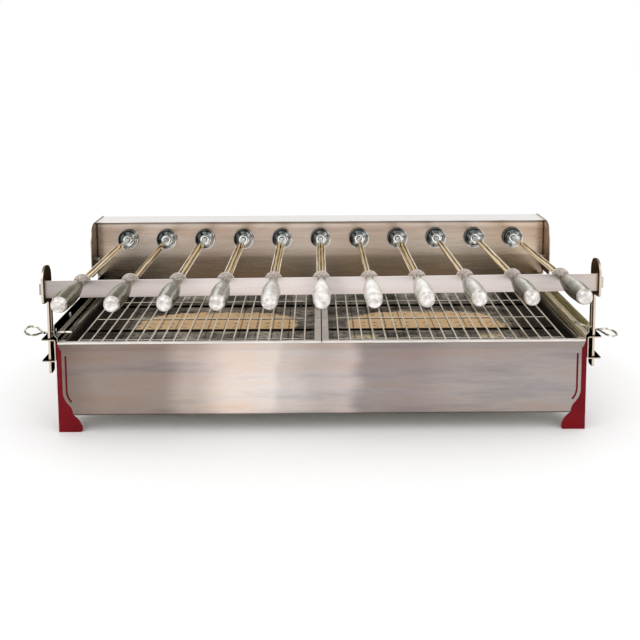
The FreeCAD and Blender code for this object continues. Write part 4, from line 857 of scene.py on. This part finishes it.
# A hex bolt through the left wall's upper sheet, its head inside and its nut outside
wallBolt = {
    "across": 9 * mm, "high": 3.2 * mm, "collar": 0.7 * mm, "shrink": 1.1 * mm,
    "stem": 1.6 * mm, "fromPanel": 115 * mm, "height": 200 * mm, "sheet": 1.5 * mm,
}
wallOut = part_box("left_side_wall")[0][0]
boltAt = Vector((wallOut + wallBolt["sheet"], panelY + wallBolt["fromPanel"], wallBolt["height"]))
deselectAll()
bpy.ops.mesh.primitive_cylinder_add(vertices=6, radius=wallBolt["across"] / math.sqrt(3),
                                    depth=wallBolt["high"], rotation=(0, math.pi / 2, 0),
                                    location=boltAt + Vector((wallBolt["high"] / 2, 0, 0)))
bolt = bpy.context.object
bolt.name = "wall_bolt_head"
bpy.ops.object.transform_apply(location=False, rotation=True, scale=False)
bpy.ops.object.mode_set(mode="EDIT")
selectFacing(bolt.data, (1, 0, 0))
bpy.ops.mesh.inset(thickness=wallBolt["shrink"] / 2)
bpy.ops.mesh.extrude_region_move(TRANSFORM_OT_translate={"value": (wallBolt["collar"], 0, 0)})
bpy.ops.mesh.inset(thickness=wallBolt["stem"])
bpy.ops.mesh.extrude_region_move(
    TRANSFORM_OT_translate={"value": (-wallBolt["collar"] / 2, 0, 0)})
endPiece(bolt, drive["zincRivet"], 0.2 * mm)
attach(bolt, "casing")
outside = (Matrix.Translation((wallOut, boltAt.y, boltAt.z)) @ Matrix.Rotation(math.pi, 4, "Z")
           @ Matrix.Translation(-boltAt))
copyPiece(bolt, "wall_bolt_nut", outside)
print("tabs and bolt made")


# Floor, light and camera. The lens shift is kept small, because the other views keep it too
studio = {
    "floorHalf": 30.0, "floorColour": "FFFFFF", "floorRough": 0.9,
    "worldLight": 1.02,    # what lights the object, where the camera sees plain white
    "keyPower": 16.0, "keySize": 2.4, "keyPlace": (-1.4, -2.2, 2.6),
    "fillPower": 7.0, "fillSize": 2.4, "fillPlace": (1.8, -1.6, 2.2),
    "aimAt": (0, 0, 0.2),
}
view = {
    "place": (-6.7 * mm, panelY - 1814.1 * mm, 715.6 * mm),
    "focal": 55.69, "sensor": 36.0,
    "yaw": math.radians(-0.163), "pitch": math.radians(-7.269),
    "roll": math.radians(-0.308), "shift": -0.22, "nearest": 0.05, "farthest": 200,
}

deselectAll()
bpy.ops.mesh.primitive_plane_add(size=2 * studio["floorHalf"], location=(0, 0, 0))
floor = bpy.context.object
floor.name = "floor"
floorPaint = newMaterial("paleFloor")
shader = addNode(floorPaint, "BsdfPrincipled", {"Base Color": linearColour(studio["floorColour"]),
                                                "Roughness": studio["floorRough"]})
floor.data.materials.append(closeMaterial(floorPaint, shader))

world = bpy.data.worlds.new("studio")
bpy.context.scene.world = world
world.use_nodes = True
world.node_tree.nodes.clear()
path = addNode(world, "LightPath")
seen = addNode(world, "Math", {0: path.outputs["Is Camera Ray"], 1: path.outputs["Is Glossy Ray"]},
               operation="MAXIMUM")
seen = addNode(world, "Math", {0: seen.outputs[0], 1: path.outputs["Is Transmission Ray"]},
               operation="MAXIMUM")
strength = addNode(world, "MapRange", {"Value": seen.outputs[0], "To Min": studio["worldLight"],
                                       "To Max": 1.0})
sky = addNode(world, "Background", {"Color": (1, 1, 1, 1), "Strength": strength.outputs[0]})
addNode(world, "OutputWorld", {"Surface": sky.outputs[0]})

for role in ("key", "fill"):
    lamp = bpy.data.lights.new(role, "AREA")
    lamp.energy = studio[role + "Power"]
    lamp.size = studio[role + "Size"]
    lampObject = bpy.data.objects.new(role, lamp)
    lampObject.location = studio[role + "Place"]
    aim = Vector(studio["aimAt"]) - Vector(studio[role + "Place"])
    lampObject.rotation_euler = aim.to_track_quat("-Z", "Y").to_euler()
    bpy.context.scene.collection.objects.link(lampObject)

camera = bpy.data.cameras.new("camera")
camera.sensor_width = view["sensor"]
camera.lens = view["focal"]
camera.shift_y = view["shift"]
camera.clip_start = view["nearest"]
camera.clip_end = view["farthest"]
cameraObject = bpy.data.objects.new("camera", camera)
cameraObject.location = view["place"]
turn = (Matrix.Rotation(view["yaw"], 3, "Z")
        @ Matrix.Rotation(math.pi / 2 + view["pitch"], 3, "X")
        @ Matrix.Rotation(view["roll"], 3, "Z"))
cameraObject.rotation_euler = turn.to_euler()
bpy.context.scene.collection.objects.link(cameraObject)
bpy.context.scene.camera = cameraObject
bpy.context.scene.view_settings.view_transform = "Standard"
print("studio ready")
